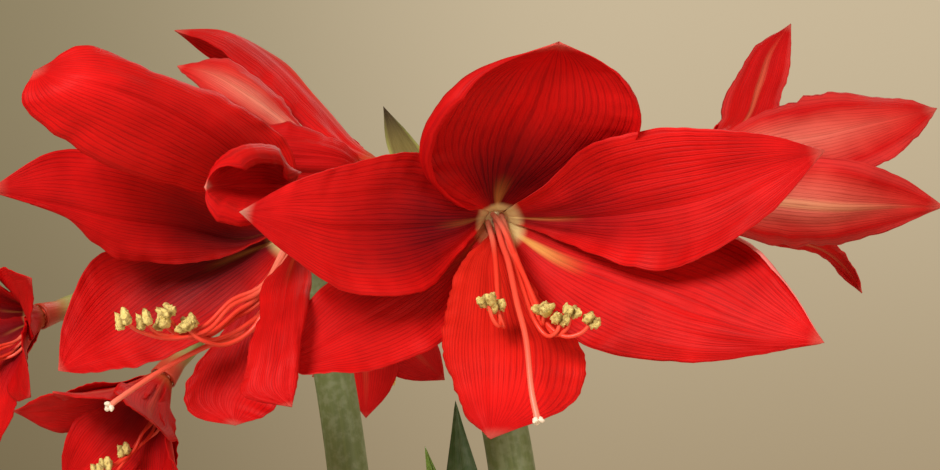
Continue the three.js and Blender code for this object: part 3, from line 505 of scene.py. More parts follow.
skin = Finish("stigma", 0.6, 0.3)
speck = skin.grain(1500.0, 3.0)
skin.start(speck, (0.80, 0.58, 0.46), (0.92, 0.86, 0.74))
white_tip = skin.done(speck, 0.0004, 0.8)

# the throat's pale yellow, lightened further towards white as painted light, as if light reached deep into
# the funnel
skin = Finish("throat", 0.5, 0.3)
cloud = skin.grain(240.0, 3.0)
skin.start(cloud, (0.94, 0.78, 0.36), (0.99, 0.93, 0.64))
heart_yellow_and_light = skin.done(cloud, 0.0004, 0.5)

# %% [markdown]
# ## The places of the petals
# A flower's petals can't be copies of each other here, because each one bends its own way in the picture. So
# each has three lines of chosen points, in millimetres from the middle of the throat: [right, back, up]. An
# azimuth is its direction round the flower in degrees, and the numbers after the lines say how far its edges
# roll over and how its colours differ from plain red; dark sets the dark red near the throat, which is partly
# the flower's own colour and partly painted shade. Petals that others hide have no lines: a rule lays them
# out from a length, a width and how far they open.

# %% Front flower
front_petals = {
    "top": {
        "azimuth": 90, "tip": (21, -69, 62),
        "left": [(-11, -14, 10), (-24, -33, 22), (-23, -48, 37), (-8, -58, 52)],
        "rib": [(2, -11, 13), (7, -27, 26), (13, -41, 40), (17, -53, 53)],
        "right": [(19, -10, 12), (39, -27, 23), (48, -46, 37), (40, -57, 53)],
        "roll": (160, 100), "roll_radius": 4.4,
        "star": 0.5, "dark": 1.0, "pale_edge": 0.0, "crease": 2.4,
    },
    "upper_right": {
        "azimuth": 30, "tip": (116, -55, 25),
        "left": [(18, -22, 14), (36, -41, 29), (62, -50, 33), (91, -58, 31)],
        "rib": [(25, -15, 1), (50, -33, 3), (74, -47, 8), (96, -55, 17)],
        "right": [(22, -12, -6), (46, -35, -16), (72, -51, -14), (98, -58, 5)],
        "star": 0.4, "dark": 0.7,
    },
    "lower_right": {
        "azimuth": -30, "tip": (115, -59, -43),
        "left": [(26, -3, -3), (57, -17, -4), (87, -35, -10), (102, -49, -25)],
        "rib": [(25, -11, -15), (53, -29, -26), (75, -43, -34), (96, -53, -40)],
        "right": [(11, -8, -27), (33, -27, -46), (67, -42, -51), (95, -53, -47)],
        "roll": (155, 0), "roll_radius": 3.2,
        "star": 0.95, "dark": 0.15, "pale_edge": 0.9,
    },
    "bottom": {
        "azimuth": -90, "tip": (-3, -69, -76),
        "left": [(7, -13, -15), (18, -27, -31), (31, -41, -48), (26, -55, -65)],
        "rib": [(-3, -12, -15), (-3, -31, -31), (-3, -48, -47), (-3, -60, -63)],
        "right": [(-14, -14, -17), (-19, -30, -33), (-19, -44, -51), (-12, -57, -67)],
        "star": 0.0, "dark": 0.1, "warm": 0.5, "ragged": 1.0,
    },
    "lower_left": {
        "azimuth": -150, "tip": (-80, -41, -52),
        "left": [(-9, -11, -26), (-21, -25, -45), (-46, -37, -54), (-67, -45, -55)],
        "rib": [(-16, -9, -16), (-34, -23, -28), (-53, -31, -39), (-69, -37, -48)],
        "right": [(-25, -5, -7), (-47, -15, -14), (-65, -27, -25), (-76, -35, -39)],
        "star": 0.1, "dark": 0.3,
    },
    "upper_left": {
        "azimuth": 150, "tip": (-90, -71, 3),
        "left": [(-15, -14, -13), (-28, -35, -26), (-53, -53, -25), (-75, -65, -11)],
        "rib": [(-17, -15, -1), (-38, -35, -3), (-58, -53, -3), (-75, -65, 1)],
        "right": [(-13, -13, 17), (-29, -31, 25), (-51, -49, 21), (-71, -63, 14)],
        "star": 0.25, "dark": 1.0, "pale_tip": 0.8,
    },
}
front_filaments = {
    0: [(4.5, -16, -8), (9.5, -37, -19.5), (16, -53, -34.5),
        (22.5, -59, -40.5), (29, -61, -39.5), (33, -62, -35)],
    60: [(5, -14, -7), (8.5, -33, -17), (14.5, -49, -31),
        (19.5, -57, -40), (24, -60, -38), (26, -61, -31.5)],
    120: [(2.5, -12, -2.5), (7.5, -29, -15.5), (12, -45, -28.5),
        (15.5, -53, -36.5), (16, -56, -35), (16, -57, -31)],
    180: [(-1.5, -15, -7), (-0.5, -35, -16.5), (0, -49, -28.5),
        (0.5, -56, -37), (-2, -58, -34.5), (-4, -58, -28)],
    240: [(-1, -17, -8.5), (0, -35, -18.5), (1, -47, -30),
        (2, -53, -37.5), (1, -55, -35), (-0.5, -55, -30)],
    300: [(4, -18, -9.5), (8, -39, -21.5), (12.5, -53, -34.5),
        (17, -58, -40.5), (20.5, -60, -39), (22, -60, -34.5)],
}
print("front flower:", len(front_petals), "petals and", len(front_filaments), "filaments")

# %% Left flower
left_petals = {
    "top": {
        "azimuth": 90, "tip": (-89, -62, 57),
        "left": [(-21, -6, 12), (-44, -34, 16), (-70, -54, 27), (-91, -66, 43)],
        "rib": [(-13, -16, 21), (-30, -42, 36), (-51, -62, 47), (-71, -70, 53)],
        "right": [(-1, -14, 31), (-17, -28, 45), (-46, -46, 58), (-71, -58, 66)],
        "dark": 0.2, "pale": 0.1,
    },
    "far_upper": {
        "azimuth": 150, "tip": (-113, -32, 15),
        "left": [(-23, 4, -8), (-42, 2, -13), (-68, -6, -11), (-89, -20, 7)],
        "rib": [(-23, 8, -3), (-44, 2, 1), (-67, -12, 4), (-90, -22, 10)],
        "right": [(-23, 12, 6), (-42, 4, 18), (-67, -10, 28), (-90, -22, 30)],
        "dark": 1.0, "crease": 2.0,
    },
    "far_lower": {
        "azimuth": 210, "tip": (-93, -2, -55),
        "left": [(-18, 6, -27), (-32, 5, -41), (-57, 0, -51), (-77, -2, -56)],
        "rib": [(-31, 16, -13), (-54, 18, -24), (-72, 12, -38), (-85, 4, -48)],
        "right": [(-30, 24, -4), (-61, 24, -6), (-82, 16, -11), (-92, 6, -34)],
        "star": 0.5, "dark": 1.0, "pale_rib": 0.7,
    },
    "bottom": {
        "azimuth": 270, "tip": (-22, -17, -75),
        "left": [(-6, -2, -27), (-4, -4, -44), (-3, -8, -60), (-10, -14, -71)],
        "rib": [(-15, 2, -25), (-21, 0, -40), (-26, -6, -54), (-30, -12, -66)],
        "right": [(-21, 2, -29), (-33, 0, -46), (-43, -6, -62), (-38, -12, -72)],
        "dark": 0.5,
    },
    "near_lower": {
        "azimuth": 330, "tip": (5, -74, -63),
        "left": [(6, -32, -15), (7, -56, -29), (6, -67, -43), (5, -72, -55)],
        "rib": [(0, -30, -17), (0, -56, -31), (-1, -68, -45), (-2, -72, -56)],
        "right": [(-9, -24, -19), (-10, -50, -32), (-12, -64, -47), (-13, -70, -59)],
        "roll": (-100, 0), "roll_radius": 2,
        "dark": 0.1, "pale": 0.0, "pale_rib": 0.0,
    },
    "near_upper": {
        "azimuth": 30, "tip": (-26, -72, 15),
        "left": [(-1, -28, 23), (-5, -36, 30), (-14, -48, 31), (-23, -60, 24)],
        "rib": [(1, -22, 13), (-4, -28, 16), (-13, -38, 17), (-21, -52, 16)],
        "right": [(5, -38, 9), (-3, -54, 11), (-12, -65, 8), (-23, -71, 11)],
        "roll": (-170, 110), "roll_radius": 5,
        "dark": 0.3, "pale_tip": 0.5, "pale": 0.0, "pale_rib": 0.0, "pale_edge": 0.0,
    },
}
left_filaments = {
    0: [(-10, -17, -21.5), (-22.5, -24, -29), (-31, -30, -38),
        (-43.5, -38, -40.5), (-53, -48, -37.5), (-58.5, -54, -33)],
    60: [(-10.5, -14, -20), (-23, -19, -27), (-32, -24, -36),
        (-40, -29, -39), (-43, -34, -35.5), (-45, -37, -30.5)],
    120: [(-12, -11, -23), (-21.5, -17, -31.5), (-30.5, -24, -39),
        (-40.5, -34, -40), (-47.5, -42, -38.5), (-52, -47, -33.5)],
    180: [(-11.5, -10, -25.5), (-22.5, -16, -34), (-31.5, -23, -40.5),
        (-38.5, -29, -40.5), (-43, -34, -38.5), (-47, -37, -34.5)],
    240: [(-10.5, -10, -28.5), (-18.5, -17, -37), (-28, -21, -41.5),
        (-33, -26, -41), (-35.5, -29, -39), (-37.5, -31, -35)],
    300: [(-8.5, -19, -27.5), (-15.5, -22, -38.5), (-24.5, -26, -43.5),
        (-31.5, -32, -42), (-36, -34, -39), (-38.5, -35, -35.5)],
}
print("left flower:", len(left_petals), "petals and", len(left_filaments), "filaments")

# %% Back left and right flower
back_left_petals = {
    "top": {
        "azimuth": 90, "tip": (-93, 45, 65),
        "left": [(-13, 30, 15), (-32, 50, 32), (-54, 64, 43), (-77, 60, 53)],
        "rib": [(-13, 16, 15), (-30, 30, 35), (-47, 40, 51), (-69, 46, 64)],
        "right": [(-16, 2, 9), (-33, 8, 22), (-49, 14, 37), (-69, 22, 54)],
        "pale": 0.0, "pale_rib": 0.1, "pale_edge": 0.0,
    },
    "near_upper": {
        "azimuth": 30, "tip": (-85, 0, 45),
        "left": [(-16, -6, 8), (-36, 2, 24), (-49, 6, 40), (-69, 4, 48)],
        "rib": [(-17, -10, 5), (-38, -8, 20), (-56, -8, 33), (-72, -4, 42)],
        "right": [(-19, -10, 2), (-41, -8, 14), (-62, -8, 28), (-78, -2, 38)],
        "pale": 0.8, "pale_rib": 0.1,
    },
    "near_lower": {
        "azimuth": 330, "tip": (-88, -12, 11),
        "left": [(-13, -13, 11), (-29, -16, 18), (-47, -18, 18), (-67, -16, 16)],
        "rib": [(-13, -19, 4), (-30, -25, 6), (-51, -27, 7), (-70, -22, 9)],
        "right": [(-12, -14, -5), (-31, -18, -5), (-51, -22, -3), (-71, -18, 3)],
        "pale": 0.0, "pale_rib": 0.0, "pale_edge": 0.0,
    },
}
right_petals = {
    "top": {
        "azimuth": 90, "tip": (62, 16, 69),
        "left": [(24, -8, 12), (47, -8, 21), (55, -4, 36), (60, 6, 53)],
        "rib": [(20, 0, 14), (40, 4, 25), (47, 8, 41), (53, 12, 56)],
        "right": [(17, 15, 14), (31, 24, 25), (36, 25, 42), (47, 20, 59)],
        "pale": 0.0, "pale_rib": 0.25,
    },
    "near_upper": {
        "azimuth": 150, "tip": (115, -34, 28),
        "left": [(17, -20, -3), (53, -38, 1), (83, -44, 2), (104, -38, 14)],
        "rib": [(16, -14, 4), (42, -28, 12), (66, -36, 16), (92, -38, 22)],
        "right": [(18, -12, 11), (47, -20, 29), (72, -22, 35), (97, -28, 33)],
        "pale": 0.6, "pale_rib": 0.0, "ragged": 1.0,
    },
    "near_lower": {
        "azimuth": 210, "tip": (118, -34, -13),
        "left": [(18, -14, -16), (42, -26, -27), (66, -32, -31), (93, -36, -23)],
        "rib": [(13, -22, -8), (36, -40, -10), (63, -50, -13), (89, -44, -13)],
        "right": [(18, -28, 0), (47, -47, 6), (73, -52, 6), (97, -46, -1)],
        "pale": 0.75, "pale_rib": 0.5,
    },
    "bottom": {
        "azimuth": 270, "tip": (94, 18, -51),
        "left": [(21, 10, -19), (46, 14, -28), (72, 18, -33), (85, 22, -43)],
        "rib": [(20, 2, -15), (45, 7, -24), (72, 12, -30), (87, 18, -40)],
        "right": [(21, -6, -12), (52, 0, -20), (78, 6, -29), (89, 13, -38)],
        "pale": 0.0,
    },
}
print("petals behind:", len(back_left_petals), "and", len(right_petals))

# %% The four open flowers
flowers = {
    "front_flower": {
        "throat": (0, -85, 605), "facing": (0.02, -0.97, -0.22), "foot": 335,
        "petals": front_petals,
        "filaments": front_filaments,
        "style": [(2, -20, -8.5), (4, -36, -15), (6.5, -57, -28.5),
                  (9.5, -69, -41.5), (11, -79, -58), (13, -83, -68)],
    },
    "left_flower": {
        "throat": (-78, -68, 602), "facing": (-0.68, -0.64, -0.36), "foot": 245,
        "petals": left_petals,
        "filaments": left_filaments,
        "style": [(-8, -14, -31.5), (-20.5, -14, -40.5), (-32.5, -21, -44.5),
                  (-46.5, -31, -52), (-60, -49, -61.5), (-63.5, -53, -64.5)],
    },
    "back_left_flower": {
        "throat": (-50, 0, 627), "facing": (-0.74, 0.57, 0.36), "foot": 155,
        "petals": back_left_petals,
        "hidden_petals": {
            "bottom": {"azimuth": 290, "span": 18, "length": 94, "half_width": 13, "opening": 66},
            "far_lower": {"azimuth": 245, "span": 18, "length": 96, "half_width": 14, "opening": 54},
            "far_upper": {"azimuth": 204, "span": 18, "length": 92, "half_width": 13, "opening": 36},
        },
    },
    "right_flower": {
        "throat": (71, 20, 625), "facing": (0.9, 0.35, -0.05), "foot": 65,
        "petals": right_petals,
        "hidden_petals": {
            "far_lower": {"azimuth": 330, "span": 26, "length": 100, "half_width": 16, "opening": 74},
            "far_upper": {"azimuth": 30, "span": 26, "length": 104, "half_width": 21, "opening": 58},
        },
    },
}
print("open flowers:", ", ".join(flowers))

# %% [markdown]
# ## Shaping a petal
# Three lines give the broad form: both edges and the rib. Between them a petal is a shallow trough, so a
# parabola across the three lines fits it, and an edge that turns over carries on as an arc. Small movements
# then make it a real petal: a groove over the rib, waves that grow towards the edges, and an uneven outline.

# %% Directions round a flower
THROAT_RADIUS, THROAT_RISE = 4.7 * MM, 0.9
HALF_SPAN = 26


def directions_of(flower):
    facing = Vector(flower["facing"]).normalized()
    up = (Vector((0, 0, 1)) - facing * facing.z).normalized()
    return facing, up, up.cross(facing)


def spoke_at(flower, azimuth):
    _, up, side = directions_of(flower)
    angle = math.radians(azimuth)
    return side * math.cos(angle) + up * math.sin(angle)


def throat_point(flower, azimuth):
    return spoke_at(flower, azimuth) * THROAT_RADIUS + directions_of(flower)[0] * THROAT_RISE * MM


def petal_lines(flower, petal):
    """Both edges and the rib. They leave the throat's rim a span apart, and meet in the tip."""
    span, lines = petal.get("span", HALF_SPAN), []
    for side, turn in (("left", span), ("rib", 0), ("right", -span)):
        foot = throat_point(flower, petal["azimuth"] + turn)
        lines.append(smooth_line([foot, *map(mm, petal[side]), mm(petal["tip"])]))
    return lines


# %% One point of a petal
ROLL_START = 0.84


def petal_point(lines, petal, along, across, fine, seed):
    """The broad form first, then the rolled edge, then the small movements as large as fine says."""
    left, rib, right = (line(along) for line in lines)
    half, bend = (right - left) / 2, (right + left) / 2 - rib
    edge = math.copysign(1, across)
    fade = 0.08 + 0.92 * min(along / 0.25, 1) * min((1 - along) / 0.25, 1)
    turn = math.radians(petal.get("roll", (0, 0))[0 if across < 0 else 1]) * fade
    plain = across if turn == 0 else max(-1, min(1, across / ROLL_START))
    normal = (half + bend * 2 * plain).cross(heading(lines[1], along)).normalized()
    point = rib + half * plain + bend * plain * plain
    rolled = 0 if turn == 0 else max(0, (abs(across) - ROLL_START) / (1 - ROLL_START))
    if rolled > 0:
        outward = (half + bend * 2 * edge).normalized() * edge
        radius, angle = petal["roll_radius"] * MM * fade, abs(turn) * rolled
        point += outward * radius * math.sin(angle)
        point += normal * math.copysign(1, turn) * radius * (1 - math.cos(angle))
    middle = math.sin(math.pi * min(along * 1.02, 1)) ** 0.6
    groove = -0.75 * math.exp(-((across / 0.06) ** 2)) * middle * min(1, (1 - along) * 4)
    groove -= petal.get("crease", 0) * (1 - abs(plain)) ** 1.5 * middle
    beats = along * (2.4 + seed % 3 * 0.5) + seed * 0.37
    wave = math.sin(2 * math.pi * beats + (2 if across > 0 else 0))
    crimp = noise.noise(Vector((along * 22, 3 * edge, seed)))
    edge_wave = (1.1 * wave + 1.5 * crimp) * abs(across) ** 3 * middle * (1 - rolled)
    swell = 1.3 * noise.noise(Vector((along * 4.5, across * 3.2, seed * 1.7))) * middle
    pleat = 0.22 * noise.noise(Vector((along * 3, across * 17, seed * 2.1))) * middle
    point += normal * (groove + edge_wave + swell + pleat) * MM * fine
    ragged = noise.noise(Vector((along * 34, 7 * edge, seed * 3.3)))
    reach = petal.get("ragged", 0.35) * 1.1 * ragged * max(0, abs(across) - 0.8) * 5
    return point + half.normalized() * edge * reach * MM * fine * middle


# %% A petal as a piece
PETAL_THICKNESS = 1.0 * MM


def add_petal(shape, flower, petal, steps, columns, fine, seed):
    """Lay one petal into a shape, and return how thick each of its points should be."""
    lines, throat = petal_lines(flower, petal), mm(flower["throat"])

    def place(along, across):
        spread = math.copysign(abs(across) ** 0.8, across) if "roll" in petal else across
        return throat + petal_point(lines, petal, along, spread, fine, seed)

    made = blade(shape, steps, columns, place)
    return weights_of(shape, made, lambda along, from_rib: (1 - from_rib**4) * 0.75 + 0.15)


def keep_petals(shape, node, weights, **tones):
    by_index = numbered(shape, weights)
    piece = keep(shape, node, "petal", [inner_red, outer_red], **tones)
    thicken(piece, PETAL_THICKNESS, by_index, other_finish=1)


# %% Petals that open by a rule
FIRST_OPENING = 18


def open_petal(flower, azimuth, length, half_width, opening, span=HALF_SPAN):
    """A petal that leaves the throat at a small angle, and turns outwards to its full opening at the tip."""
    facing = directions_of(flower)[0]
    spoke, aside = spoke_at(flower, azimuth), spoke_at(flower, azimuth + 90)
    widths = [0.55, 0.92, 1, 0.68, 0]
    petal = {"azimuth": azimuth, "span": span, "left": [], "rib": [], "right": []}
    point = throat_point(flower, azimuth) / MM
    for k, share in enumerate(widths, start=1):
        reach = k / len(widths)
        angle = math.radians(FIRST_OPENING + (opening - FIRST_OPENING) * reach)
        point = point + (facing * math.cos(angle) + spoke * math.sin(angle)) * length / len(widths)
        inner = facing * math.sin(angle) - spoke * math.cos(angle)
        rise = inner * 0.3 * (1 - 0.8 * reach) * share * half_width
        petal["left"].append(point + aside * share * half_width + rise)
        petal["rib"].append(point.copy())
        petal["right"].append(point - aside * share * half_width + rise)
    petal["tip"] = petal["rib"][-1]
    for side in ("left", "rib", "right"):
        del petal[side][-1]
    return petal


# %% Petals of the four open flowers
PETAL_STEPS, PETAL_COLUMNS = 72, 44
seed = 0
for name, flower in flowers.items():
    hidden = {side: open_petal(flower, **rule) for side, rule in flower.get("hidden_petals", {}).items()}
    for side, petal in {**flower["petals"], **hidden}.items():
        seed += 1
        shape = new_shape()
        weights = add_petal(shape, flower, petal, PETAL_STEPS, PETAL_COLUMNS, 1.0, seed)
        # dark: the throat's dark red, partly the flower's own colour and partly painted shade, stronger on
        # petals in shade
        keep_petals(shape, f"{name}_{side}_petal", weights,
                    throat=(petal.get("star", 0.15), petal.get("dark", 0.3)),
                    tip=(petal.get("pale_tip", 0.25), petal.get("warm", 0.08)),
                    back=(petal.get("pale", 0.08), petal.get("pale_rib", 0.3)),
                    rim=(petal.get("pale_edge", 0.1), 0))
print("petals:", seed)

# %% [markdown]
# ## Flower stems
# A scape is the thick hollow stem that comes straight out of the bulb. It is a rolled-up grid along a curved
# line, slightly flattened and thinner at the top. Each flower has its own stalk there, which swells at the
# ovary, narrows, and widens into the tube that carries the petals.

# %% Scapes
SCAPE_FOOT, SCAPE_STEPS, SCAPE_SIDES = 164.3, 90, 32
front_umbel, rear_umbel = (-6, -15, 579), (-84, 100, 583)
scapes = {  # points, and the radius at the foot and at the top
    "front_scape": ([(22, -8, SCAPE_FOOT), (23, -12, 260), (19, -17, 380), (9, -20, 490), (0, -18, 542),
                     front_umbel], 11.5, 9.2),
    "rear_scape": ([(-24, 8, SCAPE_FOOT), (-30, 24, 250), (-45, 56, 350), (-61, 84, 440), (-72, 97, 515),
                    rear_umbel], 11.0, 9.6),
}


def flattened(angle):
    return 0.975 + 0.02 * math.cos(2 * angle) + 0.006 * math.cos(9 * angle)


umbels = {}
for name, (points, low_radius, top_radius) in scapes.items():
    line = smooth_line([mm(point) for point in points])
    umbels[name] = (mm(points[-1]), heading(line, 1))
    shape = new_shape()
    strand(shape, line, lambda along: low_radius + (top_radius - low_radius) * along,
           SCAPE_STEPS, SCAPE_SIDES, waist=flattened)
    keep(shape, name, "stem", [stem_green])
print("scapes:", ", ".join(scapes))

# %% Stalks with ovary and tube
TUBE_DEPTH, MOUTH_INSIDE, FLOOR_INSIDE = 14, 5.3, 3.2
INSIDE_SHARE = 0.89
FOOT_SPREAD, STALK_REACH, STALK_STEPS = 5.1, 42, 60
stalk_profile = [(0, 3.4), (0.5, 3.4), (0.6, 5.4), (0.7, 6.4), (0.8, 5.8), (0.87, 5.0), (1, 6.4)]


def add_stalk(node, flower, umbel):
    """A stalk from the scape's top to the throat. The last part of its grid turns back into the tube."""
    top, up = umbel
    facing, mouth = directions_of(flower)[0], mm(flower["throat"])
    outwards = (Vector((1, 0, 0)) - up * up.x).normalized()
    outwards.rotate(Quaternion(up, math.radians(flower["foot"])))
    foot = top + (outwards * FOOT_SPREAD + up * 0.3) * MM
    rise = foot + (up * 14 + outwards * 3) * MM
    reach = facing * STALK_REACH
    line = smooth_line([foot, rise, mouth - reach * MM, mouth - reach / 2 * MM, mouth], by_distance=True)
    stations = [(foot, up, 0)]
    for step in range(STALK_STEPS + 1):
        along = step / STALK_STEPS
        direction = up if step == 0 else facing if step == STALK_STEPS else heading(line, along)
        stations.append((line(along), direction, between(along, stalk_profile) * MM))
    for depth in range(0, TUBE_DEPTH + 1, 2):
        inside = MOUTH_INSIDE + (FLOOR_INSIDE - MOUTH_INSIDE) * depth / TUBE_DEPTH
        stations.append((mouth - facing * depth * MM, facing, inside * MM))
    stations.append((mouth - facing * TUBE_DEPTH * MM, facing, 0))
    shape = new_shape()
    tube(shape, stations, 24, lambda angle: 0.985 + 0.015 * math.cos(3 * angle))
    growth = shape.loops.layers.uv["growth"]
    for face in shape.faces:
        if sum(loop[growth].uv.x for loop in face.loops) / len(face.loops) > INSIDE_SHARE:
            face.material_index = 1
    keep(shape, node, "stem", [stalk_green, heart_yellow_and_light])


for name, flower in flowers.items():
    add_stalk(f"{name}_stalk", flower, umbels["front_scape"])
print("stalks on the front scape:", len(flowers))

# %% [markdown]
# ## Stamens and pistil
# Six filaments stand on a low ring in the throat and carry a pollen sac each, which balances on its middle.
# The sacs have split and curled: each is a lumpy double body with a dark slit between its halves. The pistil
# is one longer strand that ends in three small white lobes.

# %% Pollen sacs
def add_sac(shape, end, direction, rng, length):
    turn = Vector((0, 0, 1)).rotation_difference(direction) @ Quaternion((0, 0, 1), rng.uniform(-0.7, 0.7))
    turn = Matrix.Translation(end) @ turn.to_matrix().to_4x4()
    slit = shape.loops.layers.uv["slit"]
    curl = rng.uniform(0.5, 1.3)
    for half in (-1, 1):
        for vert in bmesh.ops.create_icosphere(shape, subdivisions=3, radius=1)["verts"]:
            x, y, z = vert.co
            lump = noise.noise(Vector((x * 2.6, y * 5.0, z * 2.6)) + Vector((half * 9, curl * 7, 0)))
            grit = noise.noise(Vector((x * 7, y * 11, z * 7)) + Vector((half * 5, curl * 3, 1)))
            body = 1 + 0.55 * lump + 0.45 * grit
            place = Vector((1.6 * x * body + half * 1.3, length / 2 * y * (1 + 0.25 * lump), 2.0 * z * body))
            place.z += curl * (y * y) * 2.0 - 0.6
            place.x += 0.5 * half * y * y
            vert.co = turn @ (place * MM)
            for loop in vert.link_loops:
                loop[slit].uv = (max(0.0, min(1.0, (-half * x - 0.35) * 2.2)), 0)


# %% Stamens and pistil of one flower
SAC_LENGTH, LOBE_RADIUS = 8.4, 1.15
FILAMENT_CIRCLE, FILAMENT_DEPTH = 3.4, 3
ring_profile = [(5, 1.5), (5, 4.0), (2, 4.7), (1, 4.0), (1.2, 1.5), (5, 1.5)]
style_profile = [(0, 1.15), (0.85, 1.0), (0.97, 1.1), (1, 1.4)]


def turned_body(shape, flower, profile, sides):
    """A body turned round a flower's middle, from pairs of a depth in its tube and a radius."""
    throat, facing = mm(flower["throat"]), directions_of(flower)[0]
    tube(shape, [(throat - facing * depth * MM, facing, radius * MM) for depth, radius in profile], sides)


def add_stamens(node, flower, points_by_azimuth, seed):
    facing, throat = directions_of(flower)[0], mm(flower["throat"])
    lines = []
    for azimuth, points in points_by_azimuth.items():
        foot = (spoke_at(flower, azimuth) * FILAMENT_CIRCLE - facing * FILAMENT_DEPTH) * MM
        lines.append(smooth_line([foot, *map(mm, points)]))
    rng, shape = random.Random(seed), new_shape("slit")
    turned_body(shape, flower, ring_profile, 32)
    ring_faces = len(shape.faces)
    for line in lines:
        strand(shape, line, lambda along: 1.1 - 0.45 * along, 40, 10, throat)
    soft_faces = len(shape.faces)
    for line in lines:
        add_sac(shape, throat + line(1), heading(line, 1), rng, SAC_LENGTH)
    give_finish(shape, 1, soft_faces)
    give_finish(shape, 2, 0, ring_faces)
    keep(shape, node, "filament", [filament_red, pollen, heart_yellow_and_light])


def add_lobes(shape, end, direction):
    spoke = direction.orthogonal().normalized()
    for k in range(3):
        out = spoke.copy()
        out.rotate(Quaternion(direction, k * 2 * math.pi / 3))
        place = Matrix.Translation(end + (out * 0.95 + direction * 0.2) * MM)
        made = bmesh.ops.create_icosphere(shape, subdivisions=3, radius=LOBE_RADIUS * MM, matrix=place)
        for vert in made["verts"]:
            away = vert.co - place.translation
            vert.co += out * max(0, away.dot(direction)) * 0.7 + away * 0.18 * noise.noise(away * 2200)


def add_pistil(node, flower, points):
    shape, throat = new_shape(), mm(flower["throat"])
    foot = -directions_of(flower)[0] * (TUBE_DEPTH - 0.3) * MM
    line = smooth_line([foot, Vector(), *map(mm, points)])
    strand(shape, line, lambda along: between(along, style_profile), 60, 12, throat)
    soft_faces = len(shape.faces)
    add_lobes(shape, throat + line(1), heading(line, 1))
    give_finish(shape, 1, soft_faces)
    keep(shape, node, "style", [style_pink, white_tip])


# %% Bundles of the four open flowers
left_flower = flowers["left_flower"]


def turned_to(flower, points, droop):
    """Turn points of the left flower's bundle to another flower, with droop as the share kept of its fall."""
    pairs = list(zip(directions_of(left_flower), directions_of(flower), (1, droop, 1)))
    return [sum((there * share * Vector(point).dot(here) for here, there, share in pairs), Vector())
            for point in points]


for name, flower in flowers.items():
    filaments, style = flower.get("filaments"), flower.get("style")
    if not filaments:
        left_filaments = left_flower["filaments"].items()
        filaments = {azimuth: turned_to(flower, points, 0.5) for azimuth, points in left_filaments}
        style = turned_to(flower, left_flower["style"], 0.6)
    add_stamens(f"{name}_stamens", flower, filaments, len(name))
    add_pistil(f"{name}_pistil", flower, style)
print("bundles of stamens:", len(flowers))

# %% [markdown]
# ## The rear scape's flowers
# These three are smaller and less seen, so they follow one rule: six equal petals that open more or less. In
# each, the petals grow together at the foot, and the stamens and the pistil are one piece.

# %% Rear flowers
SMALL_LENGTH, SMALL_HALF_WIDTH = 64, 17
SMALL_STEPS, SMALL_COLUMNS, SMALL_FINE = 36, 24, 0.8
rear_flowers = {
    "rear_left_flower": {"throat": (-211, 78, 562), "facing": (-0.62, -0.76, -0.2), "foot": 140,
                         "openings": (78, 64)},
    "rear_middle_flower": {"throat": (-147, 38, 536), "facing": (-0.42, -0.62, -0.66), "foot": 225,
                           "openings": (60, 50)},
    "rear_right_flower": {"throat": (-68, 170, 570), "facing": (0.25, 0.8, -0.55), "foot": 52,
                          "openings": (60, 50)},
}
for name, flower in rear_flowers.items():
    seed += 1
    add_stalk(f"{name}_stalk", flower, umbels["rear_scape"])
    shape, weights = new_shape(), {}
    for k in range(6):
        petal = open_petal(flower, 60 * k + 30, SMALL_LENGTH, SMALL_HALF_WIDTH, flower["openings"][k % 2])
        small_seed = seed * 7 + k
        weights.update(add_petal(shape, flower, petal, SMALL_STEPS, SMALL_COLUMNS, SMALL_FINE, small_seed))
    # dark near the throat here is partly the flowers' own colour and partly painted shade on these flowers at
    # the back
    keep_petals(shape, f"{name}_perianth", weights,
                throat=(0.3, 0.9), tip=(0.1, 0.0), back=(0.0, 0.1), rim=(0.0, 0))
print("rear perianths:", len(rear_flowers))

# %% Their stamens and pistils
SMALL_SAC, SMALL_STRAND = 6.4, 0.75
plug_profile = [(5, 0), (5, 4.0), (2, 4.7), (2, 0)]
bundle = [left_flower["filaments"][azimuth] for azimuth in (0, 120, 240)] + [left_flower["style"]]
for name, flower in rear_flowers.items():
    facing, throat = directions_of(flower)[0], mm(flower["throat"])
    rng, shape, lines = random.Random(len(name)), new_shape("slit"), []
    turned_body(shape, flower, plug_profile, 24)
    for k, points in enumerate(bundle):
        foot = (spoke_at(flower, 90 * k) * 2 - facing * FILAMENT_DEPTH) * MM
        small = (point * MM * (SMALL_LENGTH / 100) for point in turned_to(flower, points, 0.8))
        lines.append(smooth_line([foot, *small]))
        strand(shape, lines[-1], lambda along: SMALL_STRAND, 30, 8, throat)
    soft_faces = len(shape.faces)
    for line in lines[:3]:
        add_sac(shape, throat + line(1), heading(line, 1), rng, SMALL_SAC)
    add_lobes(shape, throat + lines[3](1), heading(lines[3], 1))
    give_finish(shape, 1, soft_faces)
    keep(shape, f"{name}_stamens_and_pistil", "filament", [filament_red, pollen])
print("rear bundles:", len(rear_flowers))

# %% [markdown]
# ## Bracts
# Before it opened, each head of buds was wrapped in two bracts. They have dried, and stand behind the flowers
# as thin brown blades with greener edges. They are petals in shape, so the same three lines serve.

